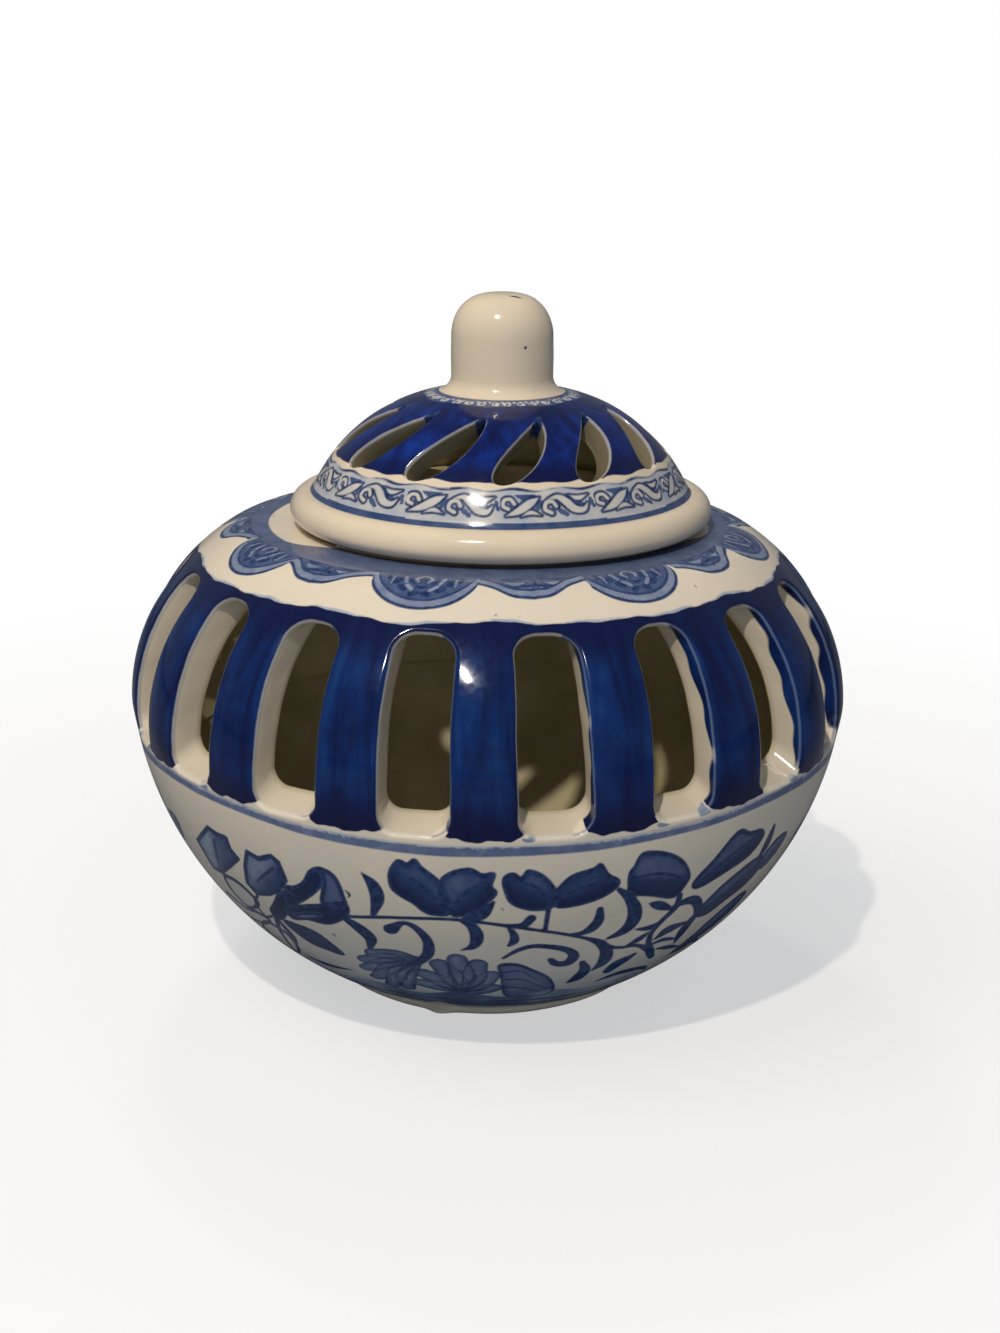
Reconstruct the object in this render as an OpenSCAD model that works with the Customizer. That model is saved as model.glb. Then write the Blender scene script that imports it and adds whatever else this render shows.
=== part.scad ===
// Potpourri jar: a squat porcelain jar with a pierced wall, and a pierced domed lid with a knob.
// Sizes are in millimetres. The origin is the centre of the foot's underside, +Z is up and
// the front of the jar looks towards -Y.

/* [Jar] */
// Widest outside diameter of the jar
belly_d = 130; // [116:1:144]
// Height of the widest line above the table
belly_z = 53; // [49:0.5:57]
// Height of the flat seat that the lid rests on
seat_z = 84.4; // [80:0.2:90]
// Thickness of the clay wall
wall = 6; // [4.5:0.5:7]
// Thickness of the jar's floor
floor_t = 5; // [3:0.5:8]
// Angle on the wall's arc where the shoulder is cut flat for the lid's seat
shoulder_angle = 64; // [60:0.5:68]

/* [Foot] */
// Outside diameter of the foot ring
foot_d = 60; // [50:1:64]
// Height of the foot ring
foot_h = 2.6; // [2:0.2:5]
// Radial width of the foot ring
foot_w = 6; // [4:0.5:9]
// Rounding of the foot ring's lower edges
foot_round = 0.8; // [0.4:0.1:1]

/* [Seams] */
// Drop from the widest line to the seam between the bowl and the pierced wall
seam_drop = 7.8; // [6:0.2:10]
// Depth of the lap where the pierced wall stands inside the bowl's edge
lap_h = 4; // [2:0.5:6]
// Gap left for the slip in each round seam
slip = 0.1; // [0.05:0.05:0.2]

/* [Wall slots] */
// Number of upright slots round the wall
slot_count = 18; // [12:1:20]
// Width of each slot
slot_w = 11.4; // [10.6:0.2:12.4]
// Rounding of the slots' lower corners
sill_round = 2.6; // [1.6:0.2:3.6]
// Rounding of the slots' upper corners
head_round = 4.6; // [3.6:0.2:5]
// Height of the slots' lower ends above the seam
sill_rise = 3.1; // [2:0.1:5]
// Drop from the lid's seat to the slots' upper ends
head_drop = 6.2; // [5:0.1:9]
// Outward fall of the slots' lower ends in degrees
sill_tilt = 20; // [10:1:30]
// Outward rise of the slots' upper ends in degrees
head_tilt = 35; // [25:1:45]

/* [Mouth] */
// Radial width of the flat seat round the mouth
seat_w = 12.4; // [11:0.2:14]
// Radial width of the mouth ring's neck, below its flange
neck_w = 9; // [7:0.2:9.6]
// Thickness of the mouth ring's flange
mouth_flange_t = 3; // [2.4:0.1:3.4]
// Bare shoulder left between the mouth ring's flange and the seat's outer edge
flange_inset = 0.6; // [0.4:0.1:1]
// Rounding of the mouth's edges
mouth_round = 1.2; // [0.6:0.1:1.4]

/* [Lid] */
// Reach of the lid's rolled rim over the seat, from the mouth's edge
rim_lap = 5.2; // [4.6:0.1:6]
// Radius of the rolled rim's bead
bead_r = 3.3; // [2.8:0.1:3.6]
// Depth of the flat worn on the bead where it rests
bead_flat = 0.4; // [0.2:0.1:0.8]
// Thickness of the lid's base ring, from the seat to the dome's foot
base_ring_t = 4.6; // [3.6:0.1:5]
// Reach of the rolled rim past the dome's foot
rim_overhang = 3.4; // [2.6:0.1:4]
// Height of the dome's crown above the seat
crown_h = 24.2; // [20:0.2:28]
// Radius of the dome's arc
dome_arc_r = 30.4; // [27:0.2:36]
// Thickness of the dome
dome_t = 4.5; // [3.5:0.1:5.5]

/* [Lid flange] */
// Radial play between the lid's flange and the mouth
lid_play = 3; // [1.5:0.1:4]
// Least gap left where the lid has slid over to one side
flange_gap = 1; // [0.5:0.1:1.4]
// Radial thickness of the flange
flange_t = 3.5; // [2.5:0.1:5]
// Depth of the flange below the seat
flange_h = 6; // [4:0.5:10]

/* [Lid slots] */
// Number of leaning slots round the dome
lid_slot_count = 12; // [8:1:13]
// Angle on the dome's arc at the middle of a slot
lid_slot_angle = 50; // [46:1:54]
// Length of a slot from its round end to its tip
lid_slot_len = 15; // [11:0.5:16]
// Width of a slot at its round end
lid_slot_w = 6.6; // [4:0.2:7]
// Width of a slot at its tip
lid_slot_tip_w = 2.2; // [1.4:0.2:3]
// Lean of the slots in degrees
lid_slot_lean = 36; // [20:1:45]
// Turn of the first slot from the front in degrees
lid_slot_turn = 11; // [0:1:30]

/* [Knob] */
// Diameter of the knob
knob_d = 18.6; // [15:0.2:22]
// Height of the knob above the crown
knob_h = 17; // [14:0.5:24]
// Rounding of the knob's top edge
knob_round = 6; // [3:0.2:7]
// Reach of the slip fillet round the knob's foot
knob_fillet = 2.4; // [1.5:0.1:3]
// Depth of the knob's seat in the crown
knob_seat = 1.2; // [1:0.1:2]

/* [Hidden] */
$fn = 96;
glaze_white = [0.90, 0.86, 0.78];
cobalt = [0.07, 0.15, 0.42];
front = -90;
far = 400;

// One arc makes the wall and the shoulder, from the seam up to the seat
belly_r = belly_d / 2;
wall_arc_r = (seat_z - belly_z) / sin(shoulder_angle);
wall_centre = [belly_r - wall_arc_r, belly_z];

// The bowl is part of a sphere that carries on from the wall's arc at the seam
seam_z = belly_z - seam_drop;
seam_angle = asin(seam_drop / wall_arc_r);
seam_r = wall_centre.x + wall_arc_r * cos(seam_angle);
bowl_z = belly_z + wall_centre.x * tan(seam_angle);
bowl_r = wall_arc_r + wall_centre.x / cos(seam_angle);
lap_r = seam_r - wall / 2;
foot_r = foot_d / 2;

// The axes of the slots' corners meet the wall's outside at these angles on its arc
sill_angle = asin((seam_z + sill_rise + sill_round * cos(sill_tilt) - belly_z) / wall_arc_r);
head_angle = asin((seat_z - head_drop - head_round * cos(head_tilt) - belly_z) / wall_arc_r);
sill_point = wall_centre + wall_arc_r * [cos(sill_angle), sin(sill_angle)];
head_point = wall_centre + wall_arc_r * [cos(head_angle), sin(head_angle)];
cut_in = 2 * wall;
cut_out = 1.5 * wall;

// The mouth and the lid follow from the seat's edge on the shoulder
seat_r = wall_centre.x + wall_arc_r * cos(shoulder_angle);
mouth_r = seat_r - seat_w;
mouth_flange_r = seat_r - flange_inset;
neck_r = mouth_r + neck_w;
neck_low_z = belly_z + sqrt(pow(wall_arc_r - wall, 2) - pow(neck_r - wall_centre.x, 2));
ledge_z = seat_z - mouth_flange_t;
flange_r = mouth_r - lid_play;
lid_shift = lid_play - flange_gap;

rim_r = mouth_r + rim_lap;
bead_centre = [rim_r - bead_r, seat_z + bead_r - bead_flat];
dome_foot_z = seat_z + base_ring_t;
dome_foot_r = rim_r - rim_overhang;
crown_z = seat_z + crown_h;
dome_z = crown_z - dome_arc_r;
dome_x = dome_foot_r - sqrt(pow(dome_arc_r, 2) - pow(dome_foot_z - dome_z, 2));
knob_r = knob_d / 2;
knob_low_z = crown_z - knob_seat;
knob_top_z = crown_z + knob_h;
knob_foot_r = knob_r + knob_fillet;

// Everything right of the axis between two heights
module slice(low, high, inner = 0, outer = far)
    translate([inner, low])
        square([outer - inner, high - low]);

module disc(centre, radius)
    translate(centre)
        circle(radius);

// A ring's section with its corners rounded
module soft_section(inner, outer, low, high, round_low, round_high) {
    slice(low + round_low, high - round_high, inner, outer);
    slice(low, low + 2 * round_low, inner + round_low, outer - round_low);
    slice(high - 2 * round_high, high, inner + round_high, outer - round_high);
    for (x = [inner, outer]) {
        side = x == inner ? 1 : -1;
        disc([x + side * round_low, low + round_low], round_low);
        disc([x + side * round_high, high - round_high], round_high);
    }
}

// A ring's section with only its upper inside corner rounded
module lip_section(inner, outer, low, high, round_r) {
    slice(low, high - round_r, inner, outer);
    slice(high - 2 * round_r, high, inner + round_r, outer);
    disc([inner + round_r, high - round_r], round_r);
}

// Sections of the jar
module bowl_shell()
    difference() {
        union() {
            intersection() {
                disc([0, bowl_z], bowl_r);
                slice(foot_h, seam_z);
            }
            slice(foot_h, foot_h + floor_t, 0, foot_r);
        }
        intersection() {
            disc([0, bowl_z], bowl_r - wall);
            slice(foot_h + floor_t, seam_z + wall);
        }
    }

module wall_shell()
    intersection() {
        difference() {
            disc(wall_centre, wall_arc_r);
            disc(wall_centre, wall_arc_r - wall);
        }
        slice(seam_z - lap_h, seat_z, neck_r + slip);
    }

// Cutter for one upright slot, pointing along +X: two soft ends and the wedge between them
module slot_cutter() {
    sill_way = [cos(sill_tilt), -sin(sill_tilt)];
    head_way = [cos(head_tilt), sin(head_tilt)];
    rotate([90, 0, 0])
        linear_extrude(slot_w, center = true)
            polygon([
                sill_point - cut_in * sill_way,
                sill_point + cut_out * sill_way,
                head_point + cut_out * head_way,
                head_point - cut_in * head_way
            ]);
    slot_end(sill_point, sill_tilt, sill_round);
    slot_end(head_point, -head_tilt, head_round);
}

module slot_end(point, fall, round_r) {
    reach = slot_w / 2 - round_r;
    translate([point.x, 0, point.y])
        rotate([0, 90 + fall, 0])
            translate([0, 0, -cut_in])
                linear_extrude(cut_in + cut_out) {
                    square([2 * round_r, 2 * reach], center = true);
                    disc([0, -reach], round_r);
                    disc([0, reach], round_r);
                }
}

// Cutter for one leaning slot of the lid: a round end drawn out to a small tip
module lid_slot_cutter() {
    round_r = lid_slot_w / 2;
    tip_r = lid_slot_tip_w / 2;
    reach = lid_slot_len - round_r - tip_r;
    spread = asin((round_r - tip_r) / reach);
    side = [sin(spread), cos(spread)];
    across = [side.x, -side.y];
    tip = [reach, 0];
    translate([dome_x + dome_arc_r * cos(lid_slot_angle), 0, dome_z + dome_arc_r * sin(lid_slot_angle)])
        rotate([0, 90 - lid_slot_angle, 0])
            rotate([0, 0, 180 - lid_slot_lean])
                linear_extrude(4 * dome_t, center = true)
                    translate([-lid_slot_len / 2 + round_r, 0]) {
                        circle(round_r);
                        disc(tip, tip_r);
                        polygon([
                            round_r * side,
                            tip + tip_r * side,
                            tip + tip_r * across,
                            round_r * across
                        ]);
                    }
}

module on_lid()
    translate([lid_shift, 0, 0])
        children();

// The dome's outside, filled in to the axis
module dome_fill(inset = 0) {
    disc([dome_x, dome_z], dome_arc_r - inset);
    slice(dome_z, crown_z - inset, 0, max(dome_x, slip));
}

module foot_ring()
    color(glaze_white)
        rotate_extrude()
            soft_section(foot_r - foot_w, foot_r, 0, foot_h, foot_round, slip);

module lower_bowl()
    color(glaze_white)
        rotate_extrude()
            difference() {
                bowl_shell();
                slice(seam_z - lap_h, seam_z + slip, 0, lap_r);
            }

module openwork_wall()
    color(cobalt)
        difference() {
            rotate_extrude()
                difference() {
                    wall_shell();
                    slice(seam_z - lap_h - wall, seam_z, lap_r - slip);
                    slice(ledge_z, far, 0, mouth_flange_r + slip);
                }
            for (i = [0 : slot_count - 1])
                rotate([0, 0, front + (i + 0.5) * 360 / slot_count])
                    slot_cutter();
        }

module mouth_ring()
    color(glaze_white)
        rotate_extrude() {
            lip_section(mouth_r, mouth_flange_r, ledge_z, seat_z, mouth_round);
            slice(neck_low_z, ledge_z, mouth_r, neck_r);
        }

module lid_flange()
    color(glaze_white)
        on_lid()
            rotate_extrude()
                soft_section(flange_r - flange_t, flange_r, seat_z - flange_h, seat_z, mouth_round, slip);

module lid_rim()
    color(glaze_white)
        on_lid()
            rotate_extrude()
                difference() {
                    union() {
                        slice(seat_z, dome_foot_z, flange_r - flange_t, bead_centre.x);
                        intersection() {
                            disc(bead_centre, bead_r);
                            slice(seat_z, far);
                        }
                    }
                    intersection() {
                        dome_fill(-slip);
                        slice(dome_foot_z, far);
                    }
                }

module lid_dome()
    color(cobalt)
        on_lid()
            difference() {
                rotate_extrude()
                    difference() {
                        intersection() {
                            dome_fill();
                            slice(dome_foot_z, crown_z);
                        }
                        dome_fill(dome_t);
                        slice(knob_low_z, far, 0, knob_foot_r + slip);
                    }
                for (i = [0 : lid_slot_count - 1])
                    rotate([0, 0, front + lid_slot_turn + i * 360 / lid_slot_count])
                        lid_slot_cutter();
            }

module lid_knob()
    color(glaze_white)
        on_lid()
            rotate_extrude() {
                slice(knob_low_z, knob_top_z - knob_round, 0, knob_r);
                slice(knob_low_z, knob_top_z, 0, knob_r - knob_round);
                intersection() {
                    disc([knob_r - knob_round, knob_top_z - knob_round], knob_round);
                    slice(knob_low_z, far);
                }
                difference() {
                    slice(knob_low_z, crown_z + knob_fillet, 0, knob_foot_r);
                    disc([knob_foot_r, crown_z + knob_fillet], knob_fillet);
                }
            }

foot_ring();
lower_bowl();
openwork_wall();
mouth_ring();
lid_flange();
lid_rim();
lid_dome();
lid_knob();
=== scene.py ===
import math

import bpy
import numpy as np
from mathutils import Euler, Matrix, Vector


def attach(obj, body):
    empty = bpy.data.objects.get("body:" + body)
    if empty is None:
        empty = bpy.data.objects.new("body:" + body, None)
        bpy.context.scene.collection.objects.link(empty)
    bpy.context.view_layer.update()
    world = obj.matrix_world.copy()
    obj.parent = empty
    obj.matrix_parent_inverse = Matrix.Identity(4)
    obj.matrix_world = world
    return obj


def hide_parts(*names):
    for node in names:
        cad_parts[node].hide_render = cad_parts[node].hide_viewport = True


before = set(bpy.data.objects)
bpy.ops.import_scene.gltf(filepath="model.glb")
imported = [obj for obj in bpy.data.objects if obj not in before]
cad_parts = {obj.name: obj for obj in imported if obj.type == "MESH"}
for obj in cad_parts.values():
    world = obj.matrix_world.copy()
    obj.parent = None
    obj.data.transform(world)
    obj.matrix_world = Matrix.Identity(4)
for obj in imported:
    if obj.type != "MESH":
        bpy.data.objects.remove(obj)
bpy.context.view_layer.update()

# Lengths are in millimetres and angles in degrees from the front, to the right, until a mesh is made
MM = 0.001
DEG = math.pi / 180
QUARTER = math.pi / 2

# The jar's outside: a bowl below the seam, an arc above it, a soft edge and a flat seat
BELLY_R, BELLY_Z, SEAT_Z, WALL = 65.0, 53.0, 84.4, 6.0
SHOULDER_TURN, SEAM_DROP, EDGE_R, FOOT_TOP_R = 64.0, 7.8, 12.0, 30.15
WALL_ARC = (SEAT_Z - BELLY_Z) / math.sin(SHOULDER_TURN * DEG)
WALL_X = BELLY_R - WALL_ARC
WALL_IN = WALL_ARC - WALL
SEAM_A = math.asin(SEAM_DROP / WALL_ARC)
SEAM_Z = BELLY_Z - SEAM_DROP
BOWL_Z = BELLY_Z + WALL_X * math.tan(SEAM_A)
BOWL_R = WALL_ARC + WALL_X / math.cos(SEAM_A)
BOWL_IN = BOWL_R - WALL
EDGE_Z = SEAT_Z - EDGE_R
EDGE_X = WALL_X + math.sqrt((WALL_ARC - EDGE_R) ** 2 - (EDGE_Z - BELLY_Z) ** 2)
EDGE_A = math.atan2(EDGE_Z - BELLY_Z, EDGE_X - WALL_X)

# The mouth ring: its bore, its neck in the wall, its outer edge, its underside and its step
MOUTH_R, NECK_R, RING_R, RING_LOW, RING_STEP = 32.98, 41.98, 44.8, 79.4, 81.4

# Distances up along the outside from the seam, called m from here on
M_FOOT = -BOWL_R * (math.acos(FOOT_TOP_R / BOWL_R) - SEAM_A)
M_EDGE = WALL_ARC * (EDGE_A + SEAM_A)
M_SEAT = M_EDGE + EDGE_R * (QUARTER - EDGE_A)
M_MOUTH = M_EDGE + EDGE_R * (math.acos((RING_R - EDGE_X) / EDGE_R) - EDGE_A)

# The wall's slots, and the repeats of the bowl's painting
SLOTS = 18
PITCH = 360 / SLOTS
SLOT_TOP, CELL_TOP = 36.0, 39.4
REPEAT = 120.0

# The lid round its own axis: its dome is an arc that stands on the rim
LID_X = 2.0
DOME_X, DOME_Z, DOME_ARC, DOME_WALL = 6.36, 78.2, 30.4, 4.5
RIM_TOP, DOME_TOP, KNOB_FOOT_R = 89.0, 107.4, 11.1
DOME_IN = DOME_ARC - DOME_WALL
DOME_LOW = math.asin((RIM_TOP - DOME_Z) / DOME_ARC)
DOME_BACK = 1.5 * DEG
D_TOP = DOME_ARC * (math.acos((KNOB_FOOT_R - DOME_X) / DOME_ARC) - DOME_LOW)
LID_SLOTS, LID_TURN = 12, 0.6
LID_PITCH = 360 / LID_SLOTS
LID_SLOT_LOW, LID_SLOT_HIGH, LID_LEAN = 9.5, 24.2, 19.5

# Columns round the jar and round the lid's dome
N_JAR, N_LID = 1008, 960

# Paint fields are signed distances, positive inside the paint, and edge is the distance from a slot
NOWHERE = -9.0
PLAIN = {"cobalt": NOWHERE, "ink": NOWHERE, "wash": NOWHERE, "tone": 0.5, "edge": 20.0, "lap": 0.0}
INSIDE = {"edge": -20.0}
UNDERSIDE = {"edge": -7.0}

# Radii at which the shoulder, the bars' feet and the lid's scroll are laid out flat for painting
SHOULDER_FLAT, BAR_FLAT, LID_FLAT = 47.0, 64.6, 32.4


def on_arc(x, z, radius, angle):
    return x + radius * np.cos(angle), z + radius * np.sin(angle)


def arc(centre, radius, start, end, count):
    """Points along an arc, with its angles in degrees"""
    return list(zip(*on_arc(*centre, radius, np.linspace(start * DEG, end * DEG, count))))


def even(a, b, count):
    """Even steps from one point to another"""
    return [tuple(p) for p in np.linspace(a, b, count)]


def off_middle(phi, pitch):
    """Degrees from the middle of the nearest of the repeats round the axis"""
    return np.mod(phi + pitch / 2, pitch) - pitch / 2


def soft_step(t):
    return t * t * (3 - 2 * t)


def jar_profile(m):
    """Radius, height and outward angle of the jar's outside"""
    m = np.asarray(m, float)
    bowl = -SEAM_A + m / BOWL_R
    wall = -SEAM_A + m / WALL_ARC
    edge = np.clip(EDGE_A + (m - M_EDGE) / EDGE_R, EDGE_A, QUARTER)
    where = [m < 0, m < M_EDGE, m < M_SEAT]
    r, z = zip(
        on_arc(0.0, BOWL_Z, BOWL_R, bowl),
        on_arc(WALL_X, BELLY_Z, WALL_ARC, wall),
        on_arc(EDGE_X, EDGE_Z, EDGE_R, edge),
    )
    level = EDGE_X - (m - M_SEAT)
    turn = np.select(where, [bowl, wall, edge], QUARTER)
    return np.select(where, r, level), np.select(where, z, SEAT_Z), turn


def wall_inside(m):
    """The same for the pierced wall's inside, behind the point m up its outside"""
    m = np.asarray(m, float)
    a = -SEAM_A + m / WALL_ARC + (2.4 + 10.6 * np.clip(m / SLOT_TOP, 0, 1.1)) * DEG
    return *on_arc(WALL_X, BELLY_Z, WALL_IN, a), a


def dome_profile(m):
    """The same for the dome's outside, m up along it from its foot, where the glaze has pooled"""
    m = np.asarray(m, float)
    a = DOME_LOW + m / DOME_ARC
    r, z = on_arc(DOME_X, DOME_Z, DOME_ARC, a)
    return r + 0.9 * np.exp(-np.maximum(m - 1.0, 0) / 0.8), z, a


def dome_inside(m):
    a = DOME_LOW + np.asarray(m, float) / DOME_ARC + DOME_BACK
    return *on_arc(DOME_X, DOME_Z, DOME_IN, a), a


def rows_of(profile, m):
    return list(zip(*profile(m)[:2]))


# Hand-made unevenness of the radius
def jar_wobble(phi, z):
    t = phi * DEG
    return 0.10 * np.sin(2 * t + 0.4) + 0.06 * np.sin(3 * t + 1.9 + z / 40) + 0.04 * np.sin(5 * t + z / 17)


def bar_wobble(phi, z):
    """The jar's unevenness, and the soft crown of the bars between the slots"""
    crown, bar_half = 0.55, 5.6
    across = off_middle(phi, PITCH) * DEG * BELLY_R / bar_half
    rise = np.clip((z - 47) / 7, 0, 1) * np.clip((77 - z) / 9, 0, 1)
    return jar_wobble(phi, z) + crown * np.clip(1 - across**2, 0, 1) * soft_step(rise)


def lid_wobble(phi, z):
    t = phi * DEG
    return 0.07 * np.sin(2 * t + 2.4) + 0.05 * np.sin(3 * t + 0.3 + z / 30)


def place(phi, r, z, shift=0.0):
    t = phi * DEG
    return np.stack(np.broadcast_arrays(shift + r * np.sin(t), -r * np.cos(t), z), -1)


def directions(phi, angle):
    """Unit vectors along the circle, up the outside and out of it"""
    phi, angle = np.broadcast_arrays(phi * DEG, angle)
    along = np.stack((np.cos(phi), np.sin(phi), np.zeros_like(phi)), -1)
    flat = np.stack((np.sin(phi), -np.cos(phi), np.zeros_like(phi)), -1)
    up = np.array((0.0, 0.0, 1.0))
    c, s = np.cos(angle)[..., None], np.sin(angle)[..., None]
    return along, up * c - flat * s, flat * c + up * s


def add_object(name, data):
    thing = bpy.data.objects.new(name, data)
    bpy.context.scene.collection.objects.link(thing)
    return thing


class Skin:
    """Gathers grids of points into one mesh with paint fields and a folded texture map"""

    FILL = 0.97
    WELD = 2000
    SHARP = 48 * DEG

    def __init__(self):
        self.points, self.flows, self.faces, self.maps = [], [], [], []
        self.fields = {name: [] for name in PLAIN}
        self.count = 0

    def add(self, points, phi, m, fields, uv, folds=1):
        """Closed rows of points. uv is their map, or an area for rows that fold into so many strips"""
        shape = points.shape[:2]
        rows, cols = shape
        t = np.broadcast_to(phi, shape) * DEG
        flow = np.stack((BELLY_R * np.sin(t), -BELLY_R * np.cos(t), np.broadcast_to(m, shape)), -1)
        self.points.append(points.reshape(-1, 3))
        self.flows.append(flow.reshape(-1, 3))
        for name, default in PLAIN.items():
            self.fields[name].append(np.broadcast_to(fields.get(name, default), shape).reshape(-1))
        i, j = np.meshgrid(np.arange(rows - 1), np.arange(cols), indexing="ij")
        right = (j + 1) % cols
        face = np.stack((i * cols + j, i * cols + right, (i + 1) * cols + right, (i + 1) * cols + j), -1)
        self.faces.append(self.count + face.reshape(-1, 4))
        self.count += rows * cols
        if isinstance(uv, np.ndarray):
            corner = np.stack((uv[i, j], uv[i, right], uv[i + 1, right], uv[i + 1, j]), -2)
        else:
            u0, v0, u1, v1 = uv
            strip = math.ceil(cols / folds)
            fold, step = j // strip, (v1 - v0) / folds
            left = u0 + (j - fold * strip) / strip * (u1 - u0)
            low = v0 + (fold + i / (rows - 1) * self.FILL) * step
            across, rise = (u1 - u0) / strip, step * self.FILL / (rows - 1)
            square = ((0, 0), (1, 0), (1, 1), (0, 1))
            corner = np.stack([np.stack((left + across * a, low + rise * b), -1) for a, b in square], -2)
        self.maps.append(corner.reshape(-1, 4, 2))

    def turn(self, profile, columns, wobble, m, paint, area, shift=0.0, twist=0.0, calm=-1.0, folds=1):
        """A profile of (radius, height) turned round. paint is fields, or a function of angle and m"""
        phi = (np.arange(columns) * 360 / columns - 180 + twist)[None, :]
        r, z = np.array(profile, float).T[..., None]
        m = np.reshape(m, (-1, 1))
        fields = paint(phi, m) if callable(paint) else paint
        self.add(place(phi, r + wobble(phi, z) * (r > calm), z, shift), phi, m, fields, area, folds)

    def build(self, name, body, node, slot, material):
        """Joins points that meet, drops the faces that this flattens, and makes the piece"""
        points, faces, maps = [np.concatenate(rows) for rows in (self.points, self.faces, self.maps)]
        grid = np.round(points * self.WELD).astype(np.int64)
        _, first, same = np.unique(grid, axis=0, return_index=True, return_inverse=True)
        faces = same.reshape(-1)[faces]
        keep = faces != np.roll(faces, -1, axis=1)
        sizes = keep.sum(1)
        good = sizes > 2
        faces, maps, keep, sizes = faces[good], maps[good], keep[good], sizes[good]
        mesh = bpy.data.meshes.new(name)
        mesh.vertices.add(len(first))
        mesh.vertices.foreach_set("co", (points[first] * MM).astype(np.float32).ravel())
        mesh.loops.add(int(sizes.sum()))
        mesh.loops.foreach_set("vertex_index", faces[keep].astype(np.int32))
        mesh.polygons.add(len(sizes))
        starts = np.concatenate(([0], np.cumsum(sizes)[:-1]))
        mesh.polygons.foreach_set("loop_start", starts.astype(np.int32))
        mesh.update(calc_edges=True)
        layer = mesh.uv_layers.new(name="OFBake")
        layer.data.foreach_set("uv", maps[keep].astype(np.float32).ravel())
        for field, values in self.fields.items():
            data = mesh.attributes.new(field, "FLOAT", "POINT").data
            data.foreach_set("value", np.concatenate(values)[first].astype(np.float32))
        data = mesh.attributes.new("flow", "FLOAT_VECTOR", "POINT").data
        data.foreach_set("vector", np.concatenate(self.flows)[first].astype(np.float32).ravel())
        mesh.validate()
        mesh.shade_smooth()
        mesh.set_sharp_from_angle(angle=self.SHARP)
        mesh.materials.append(material)
        piece = add_object(name, mesh)
        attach(piece, body)
        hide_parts(node)


def polygon_field(x, y, points):
    """Signed distance to a closed outline"""
    best = np.full(x.shape, 1e9)
    inside = np.zeros(x.shape, bool)
    for (ax, ay), (bx, by) in zip(points, points[1:] + points[:1]):
        dx, dy = bx - ax, by - ay
        t = np.clip(((x - ax) * dx + (y - ay) * dy) / (dx * dx + dy * dy), 0, 1)
        best = np.minimum(best, np.hypot(x - ax - t * dx, y - ay - t * dy))
        crossed = (ay > y) != (by > y)
        inside ^= crossed & (x < ax + (y - ay) * dx / (dy if dy else 1e-9))
    return np.where(inside, best, -best)


def smooth_path(points, step=5):
    """A smooth curve through a few points, each with as many numbers as it likes"""
    p = np.array(points, float)
    p = np.vstack((2 * p[0] - p[1], p, 2 * p[-1] - p[-2]))
    t = np.linspace(0, 1, step, endpoint=False)[:, None]
    parts = []
    for a, b, c, d in zip(p, p[1:], p[2:], p[3:]):
        parts.append(b + 0.5 * t * (c - a + t * (2 * a - 5 * b + 4 * c - d + t * (3 * (b - c) + d - a))))
    return np.vstack(parts + [p[-2:-1]])


def stroke_field(x, y, points, half):
    """Signed distance to a brush stroke with one half width, or one at each point"""
    half = np.broadcast_to(half, len(points))
    path = smooth_path([(px, py, h) for (px, py), h in zip(points, half)])
    best = np.full(x.shape, NOWHERE)
    for (ax, ay, ah), (bx, by, bh) in zip(path, path[1:]):
        dx, dy = bx - ax, by - ay
        t = np.clip(((x - ax) * dx + (y - ay) * dy) / (dx * dx + dy * dy + 1e-9), 0, 1)
        best = np.maximum(best, ah + t * (bh - ah) - np.hypot(x - ax - t * dx, y - ay - t * dy))
    return best


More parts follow.
